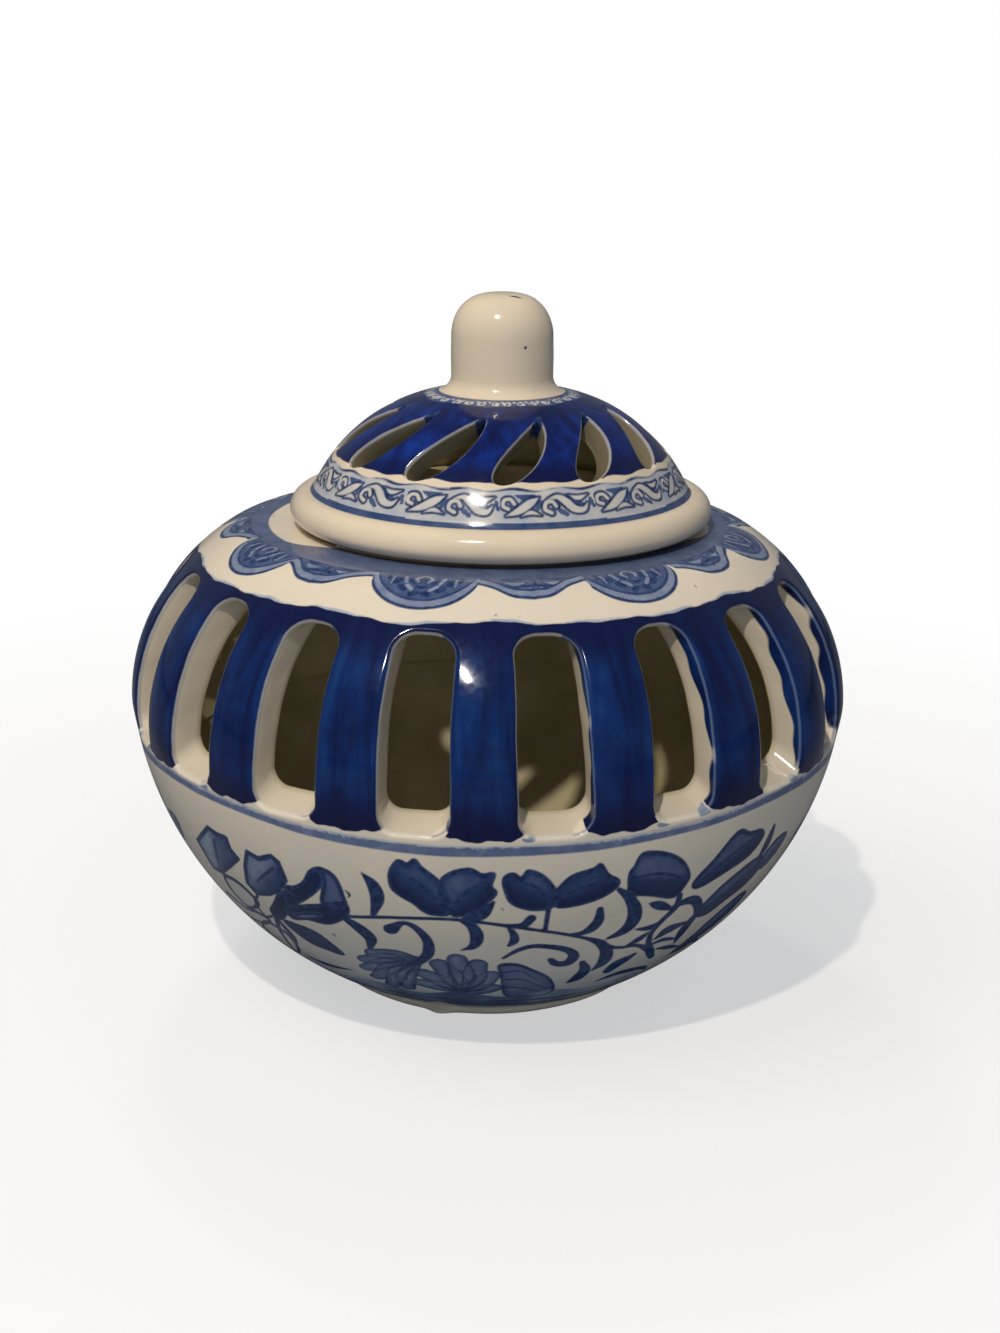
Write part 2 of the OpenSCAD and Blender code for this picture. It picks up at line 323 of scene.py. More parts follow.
class Paint:
    """Paint fields over points of a surface, where chart(angle, height) gives flat millimetres"""

    BOLD = 1.25

    def __init__(self, phi, m, chart):
        self.phi, self.m = np.broadcast_arrays(np.asarray(phi, float), np.asarray(m, float))
        self.chart = chart
        self.x, self.y = chart(self.phi, self.m)
        self.fields = {name: np.full(self.x.shape, PLAIN[name]) for name in ("cobalt", "ink", "wash", "tone")}

    def near(self, points, reach=3.5):
        """Points on the chart, and which of the surface is close to them"""
        xy = np.array([self.chart(np.float64(a), np.float64(b)) for a, b in points])
        low, high = xy.min(0) - reach, xy.max(0) + reach
        found = (self.x > low[0]) & (self.x < high[0]) & (self.y > low[1]) & (self.y < high[1])
        return [tuple(p) for p in xy], found

    def lay(self, name, field, where=..., tone=None):
        values = self.fields[name]
        old = values[where]
        if tone is not None:
            tones = self.fields["tone"]
            covered = (field > -0.12) | ((field > old) & (field > -0.7))
            tones[where] = np.where(covered, tone, tones[where])
        values[where] = np.maximum(old, field)

    def stroke(self, points, half):
        xy, found = self.near(points)
        if found.any():
            self.lay("ink", stroke_field(self.x[found], self.y[found], xy, half), found)

    def line(self, points, half):
        """A bold stroke of the scroll"""
        self.stroke(points, self.BOLD * np.array(half))

    def leaf(self, points, tone=0.8, rib=None, outline=0.3, sharp=False):
        """A wash that pools towards its dark outline and is lighter on one side of its rib"""
        xy, found = self.near(points)
        if found.any():
            loop = xy
            if not sharp:
                loop = [tuple(p) for p in smooth_path([xy[-1]] + xy + [xy[0], xy[1]], 4)[4:-5]]
            x, y = self.x[found], self.y[found]
            field = polygon_field(x, y, loop) + 0.2
            if rib:
                (ax, ay), (bx, by) = sorted(self.near([rib[0], rib[-1]])[0])
                side = ((bx - ax) * (y - ay) - (by - ay) * (x - ax)) / math.hypot(bx - ax, by - ay)
                tone = tone + 0.02 - 0.16 * np.tanh(0.9 * side)
            self.lay("wash", field, found, tone - 0.06 + 0.26 * np.exp(-np.maximum(field, 0) / 0.8))
            self.lay("ink", outline - np.abs(field - outline * 0.5), found)
            self.lay("ink", np.minimum(field, 0.1 - polygon_field(x, y + 0.75, loop)) - 0.1, found)
        if rib:
            self.stroke(rib, [0.2, 0.34] + [0.4] * (len(rib) - 2))

    def petals(self, base, tips, half, tone=0.53):
        """A fan of petals from one base, each with a bend and a vein"""
        for tip in tips:
            bend = (
                (base[0] + tip[0]) / 2 + (tip[1] - base[1]) * 0.07,
                (base[1] + tip[1]) / 2 + (base[0] - tip[0]) * 0.05,
            )
            xy, found = self.near([base, bend, tip])
            if found.any():
                field = stroke_field(self.x[found], self.y[found], xy, [half * 0.4, half, half * 0.8])
                bare = self.fields["wash"][found] <= 0
                self.lay("ink", np.where(bare, 0.15 - np.abs(field - 0.05), NOWHERE), found)
                self.lay("wash", field, found, tone - 0.12 + 0.3 * np.exp(-np.maximum(field, 0) / 0.6))
            vein = ((bend[0] + tip[0]) / 2, (bend[1] + tip[1]) / 2)
            self.stroke([base, bend, vein], [0.1, 0.22, 0.1])


def belly_line(phi):
    """Height of the hand-drawn line at the seam"""
    t = phi * DEG
    return 1.15 * (1 - np.cos(3 * t)) + 0.12 * np.sin(7 * t + 1) + 0.06 * np.sin(17 * t)


def sill_line(phi):
    """Height of the slots' lower ends"""
    return 2.6 + 0.75 * (1 - np.cos(3 * phi * DEG))


def marks(x, y, strokes):
    """The nearest of several brush strokes"""
    return np.maximum.reduce([stroke_field(x, y, points, half) for points, half in strokes])


def both(points, half):
    """A stroke and its mirror image"""
    return [(points, half), ([(-x, y) for x, y in points], half)]


# Brush strokes inside the lappets on the shoulder, from a lappet's middle
ROUND_LIGHT = [
    ([(-0.9, 0.3), (-1.4, 1.4), (-0.6, 2.4), (0.7, 2.3), (1.3, 1.3), (0.8, 0.3)], 0.36),
    *both([(2.9, 0.0), (3.5, 1.9)], 0.4),
    *both([(2.5, -0.9), (1.5, -1.9)], 0.45),
    *both([(5.5, 1.7), (5.4, -0.6)], 0.3),
]
ROUND_DARK = [
    ([(-0.2, 1.6), (0.2, 1.1)], 0.42),
    ([(-1.0, -0.8), (0.0, -1.3), (1.1, -0.8)], [0.2, 0.4, 0.2]),
    *both([(4.3, 1.3), (4.6, -0.1)], [0.5, 0.7]),
    *both([(3.6, -1.2), (2.8, -1.9)], 0.6),
    *both([(1.3, -2.9), (0.5, -2.6)], [0.6, 0.4]),
    *both([(2.2, 2.2), (2.3, 0.7), (1.5, -0.4)], [0.3, 0.42, 0.2]),
    *both([(6.5, 2.0), (6.2, 0.9)], 0.4),
]
POINTED_LIGHT = [
    *both([(5.4, 1.2), (3.5, 0.5), (1.5, 1.0)], [0.1, 0.6, 0.1]),
    *both([(2.7, -0.6), (1.6, -1.2), (0.7, -0.5)], [0.1, 0.4, 0.1]),
]
POINTED_DARK = [
    ([(0, -2.4), (0, -1.5)], [0.5, 0.2]),
    ([(0, 0.2), (0, 2.0)], [0.35, 0.15]),
    *both([(6.0, 2.3), (4.4, 1.9), (2.6, 2.1), (1.2, 2.4)], [0.2, 0.5, 0.3, 0.2]),
    *both([(0.3, 0.0), (1.8, -0.2), (3.6, -0.5)], [0.35, 0.3, 0.15]),
]

# Pale ribbons of the lid's scroll along one repeat, and the dark gaps between them
RIBBONS = [
    ([(2.5, 0.3), (1.8, 1.2), (0.7, 1.0), (0.5, -0.1), (1.4, -0.6)], 0.46),
    ([(1.0, -1.9), (3.2, -1.0), (5.3, 0.4), (7.1, 1.5)], [0.15, 0.75, 0.85, 0.1]),
    ([(9.9, -0.3), (9.3, 0.6), (8.2, 0.4), (7.9, -0.8), (9.0, -1.5)], 0.48),
    ([(8.6, 1.1), (10.4, 1.4), (11.8, 0.4), (13.0, -0.9), (14.6, -1.2), (15.6, -0.1)],
     [0.2, 0.6, 0.85, 0.8, 0.6, 0.2]),
    ([(12.5, 1.7), (14.0, 1.0), (16.0, 1.6)], [0.1, 0.55, 0.1]),
    ([(3.6, -2.0), (5.4, -1.3), (7.2, -1.9)], [0.1, 0.5, 0.1]),
]
GAPS = [
    ([(2.9, 1.9), (4.6, 1.4), (6.2, 1.9)], [0.2, 0.6, 0.2]),
    ([(7.0, 0.6), (6.6, -0.6)], [0.5, 0.4]),
    ([(11.9, 1.7), (12.8, 0.4), (14.6, -0.1)], [0.4, 0.4, 0.3]),
    ([(10.6, -1.2), (11.6, -1.9)], [0.5, 0.4]),
    ([(16.2, 0.6), (16.6, -0.8)], [0.35, 0.3]),
]

# Strokes of the bowl's scroll, as points in degrees and in mm up from the seam, and half widths
STEMS = [
    # Flower at the left
    ([(-41.8, -17.8), (-44.4, -21.2), (-43.8, -24.4), (-40.4, -22.6)], 0.3),
    ([(-40.5, -23.5), (-43, -29), (-46, -36.5)], [0.5, 0.45, 0.2]),
    ([(-40, -24), (-39.5, -28.5), (-41.5, -33)], [0.4, 0.6, 0.2]),
    ([(-43, -37), (-36.5, -37.6), (-28.5, -36)], [0.2, 0.75, 0.1]),
    ([(-21.6, -10.1), (-21, -10.9), (-21.3, -11.8)], [0.12, 0.25, 0.1]),
    # Stem, thorn and curls
    ([(-23, -16.7), (-20, -16.1), (-14, -15), (-5, -14.3), (2, -15.3), (8, -16.9), (13.4, -18.7),
      (18.6, -21.2), (21.8, -24)], 0.34),
    ([(-18.3, -5.5), (-16.7, -8), (-16.4, -11), (-17.7, -15)], [0.1, 0.9, 1.0, 0.4]),
    ([(-23.3, -17.3), (-21.3, -19), (-19.6, -21.7), (-20.5, -25)], [0.5, 0.95, 1.0, 0.4]),
    ([(-15.2, -18.2), (-13, -16.2), (-11, -17), (-9.3, -20.4), (-9.7, -24.4), (-12, -27.6), (-14.5, -29)],
     [1.1, 0.45, 0.55, 0.75, 0.85, 0.7, 0.3]),
    ([(-3.7, -14.4), (-1.8, -15.8), (-1, -18.5), (-1.6, -21.2), (-3.7, -22.6)],
     [0.25, 0.75, 0.95, 0.7, 0.15]),
    ([(-3.3, -14.2), (-0.5, -13), (1.6, -10)], [0.3, 1.05, 0.25]),
    ([(1.8, -15.4), (6, -15.8), (7.5, -14)], [0.25, 0.6, 0.7]),
    ([(3.9, -15.9), (4.9, -17.9), (5.1, -19.8), (4.3, -21.1)], [0.25, 0.55, 0.65, 0.3]),
    ([(14, -18.9), (16.2, -18.9), (17.8, -18), (18.7, -16), (18.5, -13.2)], [0.2, 0.45, 0.8, 0.8, 0.5]),
    ([(20.9, -9.1), (23.1, -11.5), (24.8, -14.7), (25.2, -17.9), (24, -20.2), (21.6, -21.5)],
     [0.4, 0.8, 1.1, 1.15, 0.85, 0.3]),
    ([(17.2, -20.3), (20.3, -22.4), (22.5, -25.5), (23.2, -29.4), (21.7, -32.4)],
     [0.3, 0.75, 1.0, 1.0, 0.15]),
    ([(3.5, -24.9), (5.7, -22.7), (8.4, -21.5), (12.3, -22.3), (15.1, -23.8), (16.3, -25.8),
      (15.5, -27.9), (13.4, -27.7), (12.1, -26.1)], [0.25, 0.45, 0.5, 0.6, 0.7, 0.85, 0.85, 0.75, 0.5]),
    ([(18.6, -28.3), (20, -31.5), (19.4, -34.8), (18, -36.4)], [0.5, 0.9, 0.95, 0.35]),
    ([(26.9, -33), (28, -31), (29.8, -29.2)], [0.2, 0.8, 0.3]),
    # Fern at the right
    ([(33, -13.5), (33.2, -16.5), (31.5, -19.5), (30.6, -22.5), (31.5, -26), (33.6, -29.5),
      (35.8, -32.5)], [0.5, 0.6, 0.5, 0.5, 0.55, 0.8, 0.6]),
    ([(32.3, -16.4), (34.3, -15.7), (36.6, -15.8), (38.5, -17.6), (39.9, -21)],
     [0.3, 0.7, 0.95, 0.9, 0.5]),
    ([(27.3, -13.8), (29.3, -14.8), (32, -16.4)], [0.2, 0.9, 0.5]),
    ([(26.3, -20.2), (29.3, -20.7), (31.3, -19.8)], [0.15, 0.65, 0.3]),
    ([(32.5, -25), (34.5, -23), (37.6, -22.4)], [0.3, 1.0, 0.5]),
    ([(40, -19.5), (39.4, -22.2), (39, -25.4), (39.6, -29.1)], [0.3, 0.8, 0.9, 0.3]),
    ([(21.5, -23.6), (25, -25.2), (29, -25.8), (33.6, -29.3)], [0.5, 0.4, 0.45, 0.7]),
    ([(26.3, -25.2), (28.5, -23.6), (29.7, -22.2)], [0.25, 0.65, 0.2]),
    ([(26, -34), (27.2, -31.2), (29.9, -28.8)], [0.8, 1.1, 0.3]),
    ([(35.2, -29.2), (38.5, -30.2), (42.5, -31.8)], [0.25, 0.7, 0.3]),
    ([(31.5, -27), (35, -26.2), (38.5, -27.4)], [0.2, 0.6, 0.25]),
    # Stalk of a leaf pair under the seam
    ([(10, -11), (10, -14), (10, -17)], 0.36),
    # Veins of a fan above the foot
    ([(3.7, -30), (7.1, -29.7), (11.6, -34.3)], [0.25, 0.2, 0.08]),
    ([(4.1, -32.9), (8, -33.3), (14.1, -38.4)], [0.25, 0.2, 0.08]),
    ([(4.6, -36.3), (8.6, -37.3), (13.6, -40.6)], [0.25, 0.2, 0.08]),
    # Stems beside the leaves that reach for the next flower
    ([(51.2, -4.5), (51.2, -8), (50.6, -11)], [0.4, 0.9, 0.5]),
    ([(42, -36), (46, -33), (51, -34), (53.5, -37.5), (51.5, -39)], [0.2, 0.5, 0.6, 0.8, 1.0]),
    ([(25, -38.5), (30, -36.5), (37, -37.5), (40, -40)], [0.15, 0.8, 0.8, 0.1]),
]


def paint_leaves(paint):
    """Leaves and flowers of the bowl's scroll"""
    leaf = paint.leaf
    # Flower at the left
    leaf([(-48.3, -5.1), (-46.2, -5.6), (-43.7, -5.6), (-43.7, -7.9), (-42.4, -9.6), (-46.2, -12.8),
          (-50.8, -16.2), (-53.7, -16.3), (-54.1, -13.4), (-54.6, -10.4)], 0.5,
         [(-50.5, -15), (-49, -11), (-47.9, -7.7)], 0.5, sharp=True)
    leaf([(-39.4, -6.9), (-37.1, -7.6), (-34.1, -6.1), (-32.9, -7.1), (-32.7, -9.2), (-32.6, -11),
          (-35.1, -14.3), (-38.4, -16.4), (-41.8, -17.5), (-43.1, -15.4), (-41.4, -10.8)], 0.54,
         [(-40, -14), (-37.5, -11.6), (-34.6, -9)], 0.5, sharp=True)
    leaf([(-33.2, -12.8), (-31.2, -12), (-29, -10.3), (-27.3, -7.6), (-25.6, -6.3), (-24.7, -7.2),
          (-26, -10.3), (-28.3, -13), (-32.3, -16.4), (-34.5, -17.2)], 1.0)
    leaf([(-25.5, -6.4), (-23.7, -6.7), (-22.6, -8.4), (-22.3, -11.4), (-22.3, -14), (-24.9, -15),
          (-26.6, -14.3), (-25.5, -10.9), (-24.9, -8.7)], 0.58, outline=0.45)
    leaf([(-35.6, -18.8), (-30.8, -16.4), (-26.5, -14.8), (-22.3, -13.4), (-22.6, -16.3), (-26.9, -19.8),
          (-31.4, -20.1), (-35.1, -21.3)], 0.98)
    leaf([(-34.7, -20.4), (-32.5, -18.9), (-29.1, -17.6), (-27.7, -17.9), (-31.3, -19.6)], 0.4,
         outline=0.05)
    leaf([(-35.7, -15.4), (-32.7, -13.5), (-32.5, -16.6), (-35.3, -19.4), (-39, -23.1), (-40.6, -21.6),
          (-37.6, -17.9)], 1.0)
    leaf([(-50.4, -16.7), (-46.8, -16.3), (-44.4, -17.9), (-43.4, -20.8), (-48.4, -24.1), (-50.7, -22.6),
          (-51.5, -20.1)], -0.1, outline=0.5)
    leaf([(-56, -23.5), (-51, -25.2), (-46.5, -24.4), (-43.5, -25.3), (-47.5, -28.3), (-53.5, -29.5),
          (-57.5, -27)], -0.1, outline=0.5)
    leaf([(-50, -30), (-45.1, -26.6), (-41, -28.1), (-41.5, -32.9), (-46.5, -37.8), (-50.5, -36),
          (-51.5, -33)], -0.1, outline=0.5)
    leaf([(-38.3, -23.3), (-35.2, -23), (-32.1, -23.4), (-29.7, -25.2), (-27.6, -29.5), (-31.7, -29.2),
          (-34.7, -28.4), (-36.9, -26.2)], 0.84, [(-38.1, -23.6), (-33.2, -25.8), (-29.2, -28)])
    # Leaf pairs under the seam
    leaf([(-13.8, -5), (-12.4, -2.3), (-11, -2.8), (-9.9, -1.8), (-9, -3.2), (-6.7, -5.7), (-5.4, -9.5),
          (-5.2, -13), (-8.5, -13.2), (-10.7, -11), (-13.6, -8.4)], 0.82,
         [(-13.2, -5), (-9.7, -6.4), (-5.4, -12.5)])
    leaf([(-6.4, -6.6), (-4.7, -4), (-2, -3.1), (-0.2, -4.2), (1.5, -4), (1.1, -6.5), (1.8, -8.2),
          (-0.5, -11.2), (-3.9, -13.5), (-5.2, -12)], 0.78, [(1.1, -5.3), (-2, -7.3), (-5, -12)])
    leaf([(3, -5), (4.2, -4), (5.6, -5), (6.5, -3.5), (8.8, -4.8), (10.6, -7.8), (10.7, -11.3),
          (7.6, -12), (4.4, -10.4), (3.2, -7.4)], 0.78, [(4, -5.5), (7.3, -6.6), (10.3, -10)])
    leaf([(11, -8.3), (12.9, -5.2), (16.2, -4), (17.2, -3.2), (18.5, -5.4), (20.5, -7.2), (20, -9),
          (17.4, -10.7), (13.6, -11.7), (11.2, -11.4)], 0.84, [(19, -7), (15, -7.8), (11.2, -10)])
    leaf([(23.8, -2.2), (26.7, -2.6), (29.5, -4), (31.6, -6), (33.4, -9.1), (33.1, -11.4), (31.7, -13.5),
          (27.1, -11.8), (23.2, -10.3), (22.2, -6.3), (22.8, -4.6)], 0.74,
         [(22.4, -7), (27.8, -7.2), (33.2, -9.8)])
    leaf([(35, -11), (37.7, -7.2), (41.4, -2.4), (44.5, -3.6), (47.4, -4), (48.7, -5.8), (46.7, -8.9),
          (41.6, -11), (36.4, -12.8)], 0.74, [(46.5, -5), (41, -7.5), (36, -12)])
    # A lotus between two fans, above the foot
    paint.petals((-11.5, -26.5), ((-17, -39.5), (-20.5, -39.5), (-23, -36.5), (-24, -33), (-23, -29.5),
                                  (-20.5, -26.5)), 1.75)
    leaf([(2.9, -27.3), (6, -27), (9.4, -29.5), (12.8, -32.9), (15.2, -38), (14.6, -41.4), (9.5, -42.2),
          (5.3, -41.2), (4, -35.1), (3.6, -30.9)], 0.52, outline=0.2)
    paint.petals((-5, -39), ((-13, -36), (2, -36.5), (-11.5, -31.5), (1.5, -31), (-8, -27.5), (-1, -27),
                             (-4.6, -25.5)), 2.1)
    # Leaves that reach for the next flower
    leaf([(39.5, -20.5), (42, -15.5), (45, -13), (48.4, -11.3), (51.5, -11.2), (53, -14.5), (51, -17.5),
          (47, -19.5), (43, -22)], 0.75, [(51, -12.5), (46.5, -16), (41, -20)])
    leaf([(52, -11.5), (54.5, -8.5), (58, -8.7), (57.5, -12.5), (54, -15)], 0.66,
         [(57, -9.6), (55.4, -11), (53.6, -14)])
    leaf([(43, -34), (44.5, -30), (46.3, -26), (49, -22.5), (52.5, -20.5), (55, -22), (54, -26.5),
          (50, -31.5), (46, -35)], 0.62, [(54, -22), (50, -27), (45, -33)])


def paint_seam(paint):
    """The line round the belly, with a faint one above it"""
    line = belly_line(paint.phi)
    wide = 0.70 + 0.10 * np.sin(paint.phi * DEG * 5 + 2)
    paint.lay("wash", 0.3 - np.abs(paint.m - line - 0.95), tone=0.10)
    paint.lay("wash", wide - np.abs(paint.m - line), tone=0.46)


def paint_bars(paint):
    """The wall's cobalt, with a wavy top, a foot to each bar and smudges beside some feet"""
    m, t = paint.m, paint.phi * DEG
    bar_top, bar_half = 37.9, 5.9
    waves = ((0.34, 9, 0.8), (0.28, 14, 2.0), (0.15, 31, 0), (0.08, 67, 1))
    top = bar_top + sum(high * np.sin(often * t + start) for high, often, start in waves)
    which = np.round(paint.phi / PITCH)
    x = off_middle(paint.phi, PITCH) * DEG * BAR_FLAT
    sill = sill_line(which * PITCH)
    ragged = 0.22 * np.sin(x * 1.1 + which * 2.1) + 0.08 * np.sin(x * 2.6 + which)
    low = sill - 0.5 + 1.2 * (np.abs(x) / 6.6) ** 4 + ragged
    flare = 0.7 * np.exp(-np.maximum(m - sill, 0) / 2.0) + 0.25 * np.sin(which * 4.3 + np.sign(x))
    side = np.where(m > sill + 5, -NOWHERE, bar_half + flare - np.abs(x))
    paint.lay("wash", 0.22 + 0.2 * np.sin(23 * t) - np.abs(m - top - 0.1), tone=0.2)
    smudge = 0.85 - np.hypot((np.abs(x) - 7.2) * 0.75, (m - sill + 0.1) * 1.5)
    smudged = np.sin(which * 5.1 + 2 * np.sign(x)) > 0.2
    paint.lay("wash", np.where(smudged, smudge, NOWHERE), tone=0.34)
    paint.lay("cobalt", np.minimum(np.minimum(top - m, m - low), side))


def paint_lappets(paint):
    """Round lappets and pointed ones by turns, hanging from a band round the seat"""
    phi, m = paint.phi, paint.m
    step, start, middle, band_low, core_top = 22.5, 13.0, 46.4, 49.0, 49.6
    turn = np.round((phi + start) / step)
    local = (phi + start - turn * step - 0.9 * np.sin(turn * 2.7)) * DEG * SHOULDER_FLAT
    is_round = np.mod(turn, 2) == 0
    bowl = 48.9 - 8.6 * np.sqrt(np.clip(1 - (local / 9.5) ** 2, 0, 1))
    reach = np.clip(np.abs(local + 0.9) / 9.3, 0, 1)
    ogee = 47.3 - 4.6 * (1 - reach ** 1.35) + 0.25 * np.cos(reach * 9.0)
    slope = np.where(is_round, 1 + 0.75 * (local / 9.5) ** 2, 1.12)
    deep = (m - np.where(is_round, bowl, ogee)) / slope
    # In front the band runs on under the lid, and elsewhere it stops short of the seat
    front = np.clip((phi + 64) / 26, 0, 1) * np.clip((78 - phi) / 26, 0, 1)
    band = 52.2 + 8 * soft_step(front) + 0.2 * np.sin(5 * phi * DEG) - m
    paint.lay("wash", np.minimum(deep, band), tone=0.62)
    tone = paint.fields["tone"]
    tone[(deep > 0.45) & (deep < 1.75) & (band > -0.2)] = 0.37
    tone[(m > band_low) & (band > -0.5)] = 0.56
    paint.lay("ink", np.minimum(0.27 - np.abs(deep - 0.2), band))
    paint.lay("ink", np.minimum(0.22 - np.abs(deep - 1.9), core_top - m))
    core = np.minimum(deep - 2.2, core_top - m)
    found = core > -0.1
    x, y, pointed = local[found], m[found] - middle, ~is_round[found]
    light = np.where(pointed, marks(x, y, POINTED_LIGHT), marks(x, y, ROUND_LIGHT))
    dark = np.where(pointed, marks(x, y, POINTED_DARK), marks(x, y, ROUND_DARK))
    tone[found] = np.where(light > 0, 0.36, np.where(m[found] < band_low, 0.60, tone[found]))
    paint.lay("ink", np.minimum(dark, core[found] + 0.2), found)
    paint.lay("ink", np.minimum(0.12 - np.abs(light + 0.1), core[found]), found)


def paint_wall(phi, m):
    paint = Paint(phi, m, lambda a, b: (a * DEG * SHOULDER_FLAT, b))
    paint_seam(paint)
    paint_bars(paint)
    paint_lappets(paint)
    return paint.fields


def paint_bowl(phi, m):
    """A leafy scroll that comes round three times, between the seam's line and the foot's lines"""
    fold, t = off_middle(phi, REPEAT), phi * DEG
    paint = Paint(fold, m, lambda a, b: (a * DEG * jar_profile(b)[0], b))
    copy = np.round(phi / REPEAT)
    paint.y = m + 0.5 * np.sin(paint.phi * DEG * 6 + copy * 2.4) * (copy != 0)
    paint.x = paint.x + 0.9 * np.sin(m / 9 + copy * 1.7) * (copy != 0)
    paint_leaves(paint)
    for points, half in STEMS:
        paint.line(points, half)
    paint.phi = phi
    paint_seam(paint)
    pool = np.exp(-(((fold + 4) / 22) ** 2)) + 0.35 * np.sin(fold * 0.23) ** 2
    paint.lay("wash", np.minimum(m + 49.4, -40.6 - 1.2 * np.sin(fold * 0.31) - m), tone=0.12 + 0.36 * pool)
    paint.lay("ink", 0.32 + 0.06 * np.sin(9 * t) - np.abs(m + 45.1 + 0.12 * np.sin(4 * t)))
    paint.lay("ink", 0.5 + 0.08 * np.sin(7 * t + 1) - np.abs(m + 49.2 + 0.1 * np.sin(3 * t + 1)))
    return paint.fields


def paint_dome(phi, m):
    """Line, scroll band and cobalt zone of the lid"""
    paint = Paint(phi, m, lambda a, b: (a * DEG * LID_FLAT, b))
    phi, m, t = paint.phi, paint.m, paint.phi * DEG
    tone = paint.fields["tone"]
    paint.lay("wash", np.minimum(m - 0.5, 8.7 + 0.2 * np.sin(24 * t) - m), tone=0.10)
    paint.lay("wash", 0.95 + 0.08 * np.sin(6 * t) - np.abs(m - 1.6), tone=0.64)
    # Scroll: pale ribbons with dark outlines
    band = np.minimum(m - 2.9, 8.6 - m)
    found = band > 0
    x = (np.mod(phi + 0.8 * np.sin(5 * t), LID_PITCH) * DEG * LID_FLAT)[found]
    y = (m - 5.75)[found] * 1.06
    pale, gap = marks(x, y, RIBBONS), marks(x, y, GAPS)
    ground = 0.12 + 0.05 * np.sin(phi[found] * 0.35)
    tone[found] = np.where(pale > 0.02, 0.04, np.where(gap > 0, 0.60, ground))
    paint.lay("ink", np.minimum(0.24 - np.abs(pale + 0.08), band[found]), found)
    paint.lay("ink", 0.16 + 0.12 * np.sin(17 * t) - np.abs(m - 8.5 - 0.25 * np.sin(24 * t)))
    low = 9.9 + 0.2 * np.sin(12 * t + 1) + 0.14 * np.sin(29 * t)
    paint.lay("cobalt", np.minimum(m - low, 28.9 + 0.25 * np.sin(8 * t) - m))
    # Pale curls round the knob's foot
    x, y = (np.mod(phi + 3 * np.sin(3 * t), 11.25) - 5.6) * DEG * 13.5, m - 30.0
    ring = 0.22 - np.abs(np.hypot(x + 0.2 * np.sin(phi), y) - 0.62)
    curls = np.maximum(ring, 0.25 - np.hypot(np.abs(x) - 1.25, y - 0.7))
    paint.lay("wash", np.minimum(m - 28.6, 32.6 - m), tone=0.62)
    tone[(m > 28.4) & (curls + 0.1 * np.sin(phi * 1.3) > 0)] = 0.0
    return paint.fields


def cell(profile, inside, shift, wobble, centre, outline, box, lapped, soft, rings):
    """One pierced cell of a wall: outside, soft edge, cut face, lip and inside, as rings round the slot.
    outline and box are closed paths of (degrees from the middle, mm up), lower left corner first."""
    deg, up = np.array(outline).T
    r = profile(up)[0]
    dx, dm = [np.roll(v, -1) - np.roll(v, 1) for v in (deg * DEG * r, up)]
    size = np.hypot(dx, dm)
    away_x, away_m = dm / size, -dx / size
    grid = {"phi": [], "m": [], "points": [], "edge": []}

    def ring(phi, m, points, edge):
        rows = {"phi": phi, "m": m, "points": points, "edge": np.broadcast_to(edge, m.shape)}
        for name, row in rows.items():
            grid[name].append(row)

    def surface(phi, m, which):
        radius, z, _ = which(m)
        return place(phi, radius + wobble(phi, z), z, shift)

    outer, cut, inner = rings
    lip, cut_edge, lip_edge = 0.5, -6.0, -6.4
    off = np.stack((deg + soft * away_x / r / DEG, up + soft * away_m), -1)
    for k in range(outer):
        s = 1 - (1 - k / (outer - 1)) ** 1.25
        x, m = (box * (1 - s) + off * s).T
        gap = np.hypot((x - off[:, 0]) * DEG * profile(m)[0], m - off[:, 1])
        ring(centre + x, m, surface(centre + x, m, profile), gap + soft)
    here = centre + deg
    along, rise, out = directions(here, profile(up)[2])
    away = along * away_x[:, None] + rise * away_m[:, None]
    rim = surface(here, up, profile)
    for k in range(1, 6):
        t = k / 5 * QUARTER
        rounded = rim + soft * (away * (1 - math.sin(t)) - out * (1 - math.cos(t)))
        ring(here, up, rounded, soft * (1 - k / 4))
    # The sides run in between radial and parallel, apart from the slot's head
    widening = 0.3 * np.clip((up.max() - up) / 24, 0, 1)
    deg_in = deg * (r / inside(up)[0]) ** widening
    back = surface(centre + deg_in, up, inside)
    start, end = rim - soft * out, back + lip * out
    for k in range(1, cut + 1):
        ring(here, up, start + (end - start) * k / cut, cut_edge * k / cut)
    for k in range(1, 4):
        t = k / 3 * QUARTER
        rounded = back + lip * (away * (1 - math.cos(t)) + out * (1 - math.sin(t)))
        ring(here, up, rounded, lip_edge - 0.2 * k)
    near = np.stack((deg_in + lip * away_x / r / DEG, up + lip * away_m), -1)
    for k in range(1, inner + 1):
        x, m = (near + (box - near) * k / inner).T
        ring(centre + x, m, surface(centre + x, m, inside), INSIDE["edge"])
    phi, m, points, edge = [np.array(rows) for rows in grid.values()]
    # The map shrinks from the cell's box towards its middle as the rings go in
    run = np.cumsum(np.linalg.norm(np.diff(points, axis=0), axis=2).mean(1))
    depth = np.concatenate(([0.0], run / run[-1]))[:, None, None]
    low, high = box.min(0), box.max(0)
    uv = 0.5 + ((box - low) / (high - low) - 0.5) * (1 - 0.93 * depth)
    # Cobalt laps over the slot's right-hand edge
    wave = 1.2 + 0.8 * np.sin(up * 0.21 + centre * 0.7) + 0.35 * np.sin(up * 0.8 + centre * 1.9)
    lap = lapped * np.clip((deg - 2.5) / 1.5, 0, 1) * np.maximum(wave, 0)
    return points, phi, m, {"edge": edge, "lap": lap}, uv


def resample(path, count):
    """count even steps along an open path, without its last point"""
    path = np.array(path)
    run = np.concatenate(([0.0], np.cumsum(np.hypot(*np.diff(path, axis=0).T))))
    at = np.linspace(0, run[-1], count, endpoint=False)
    return np.stack([np.interp(at, run, path[:, k]) for k in (0, 1)], -1)


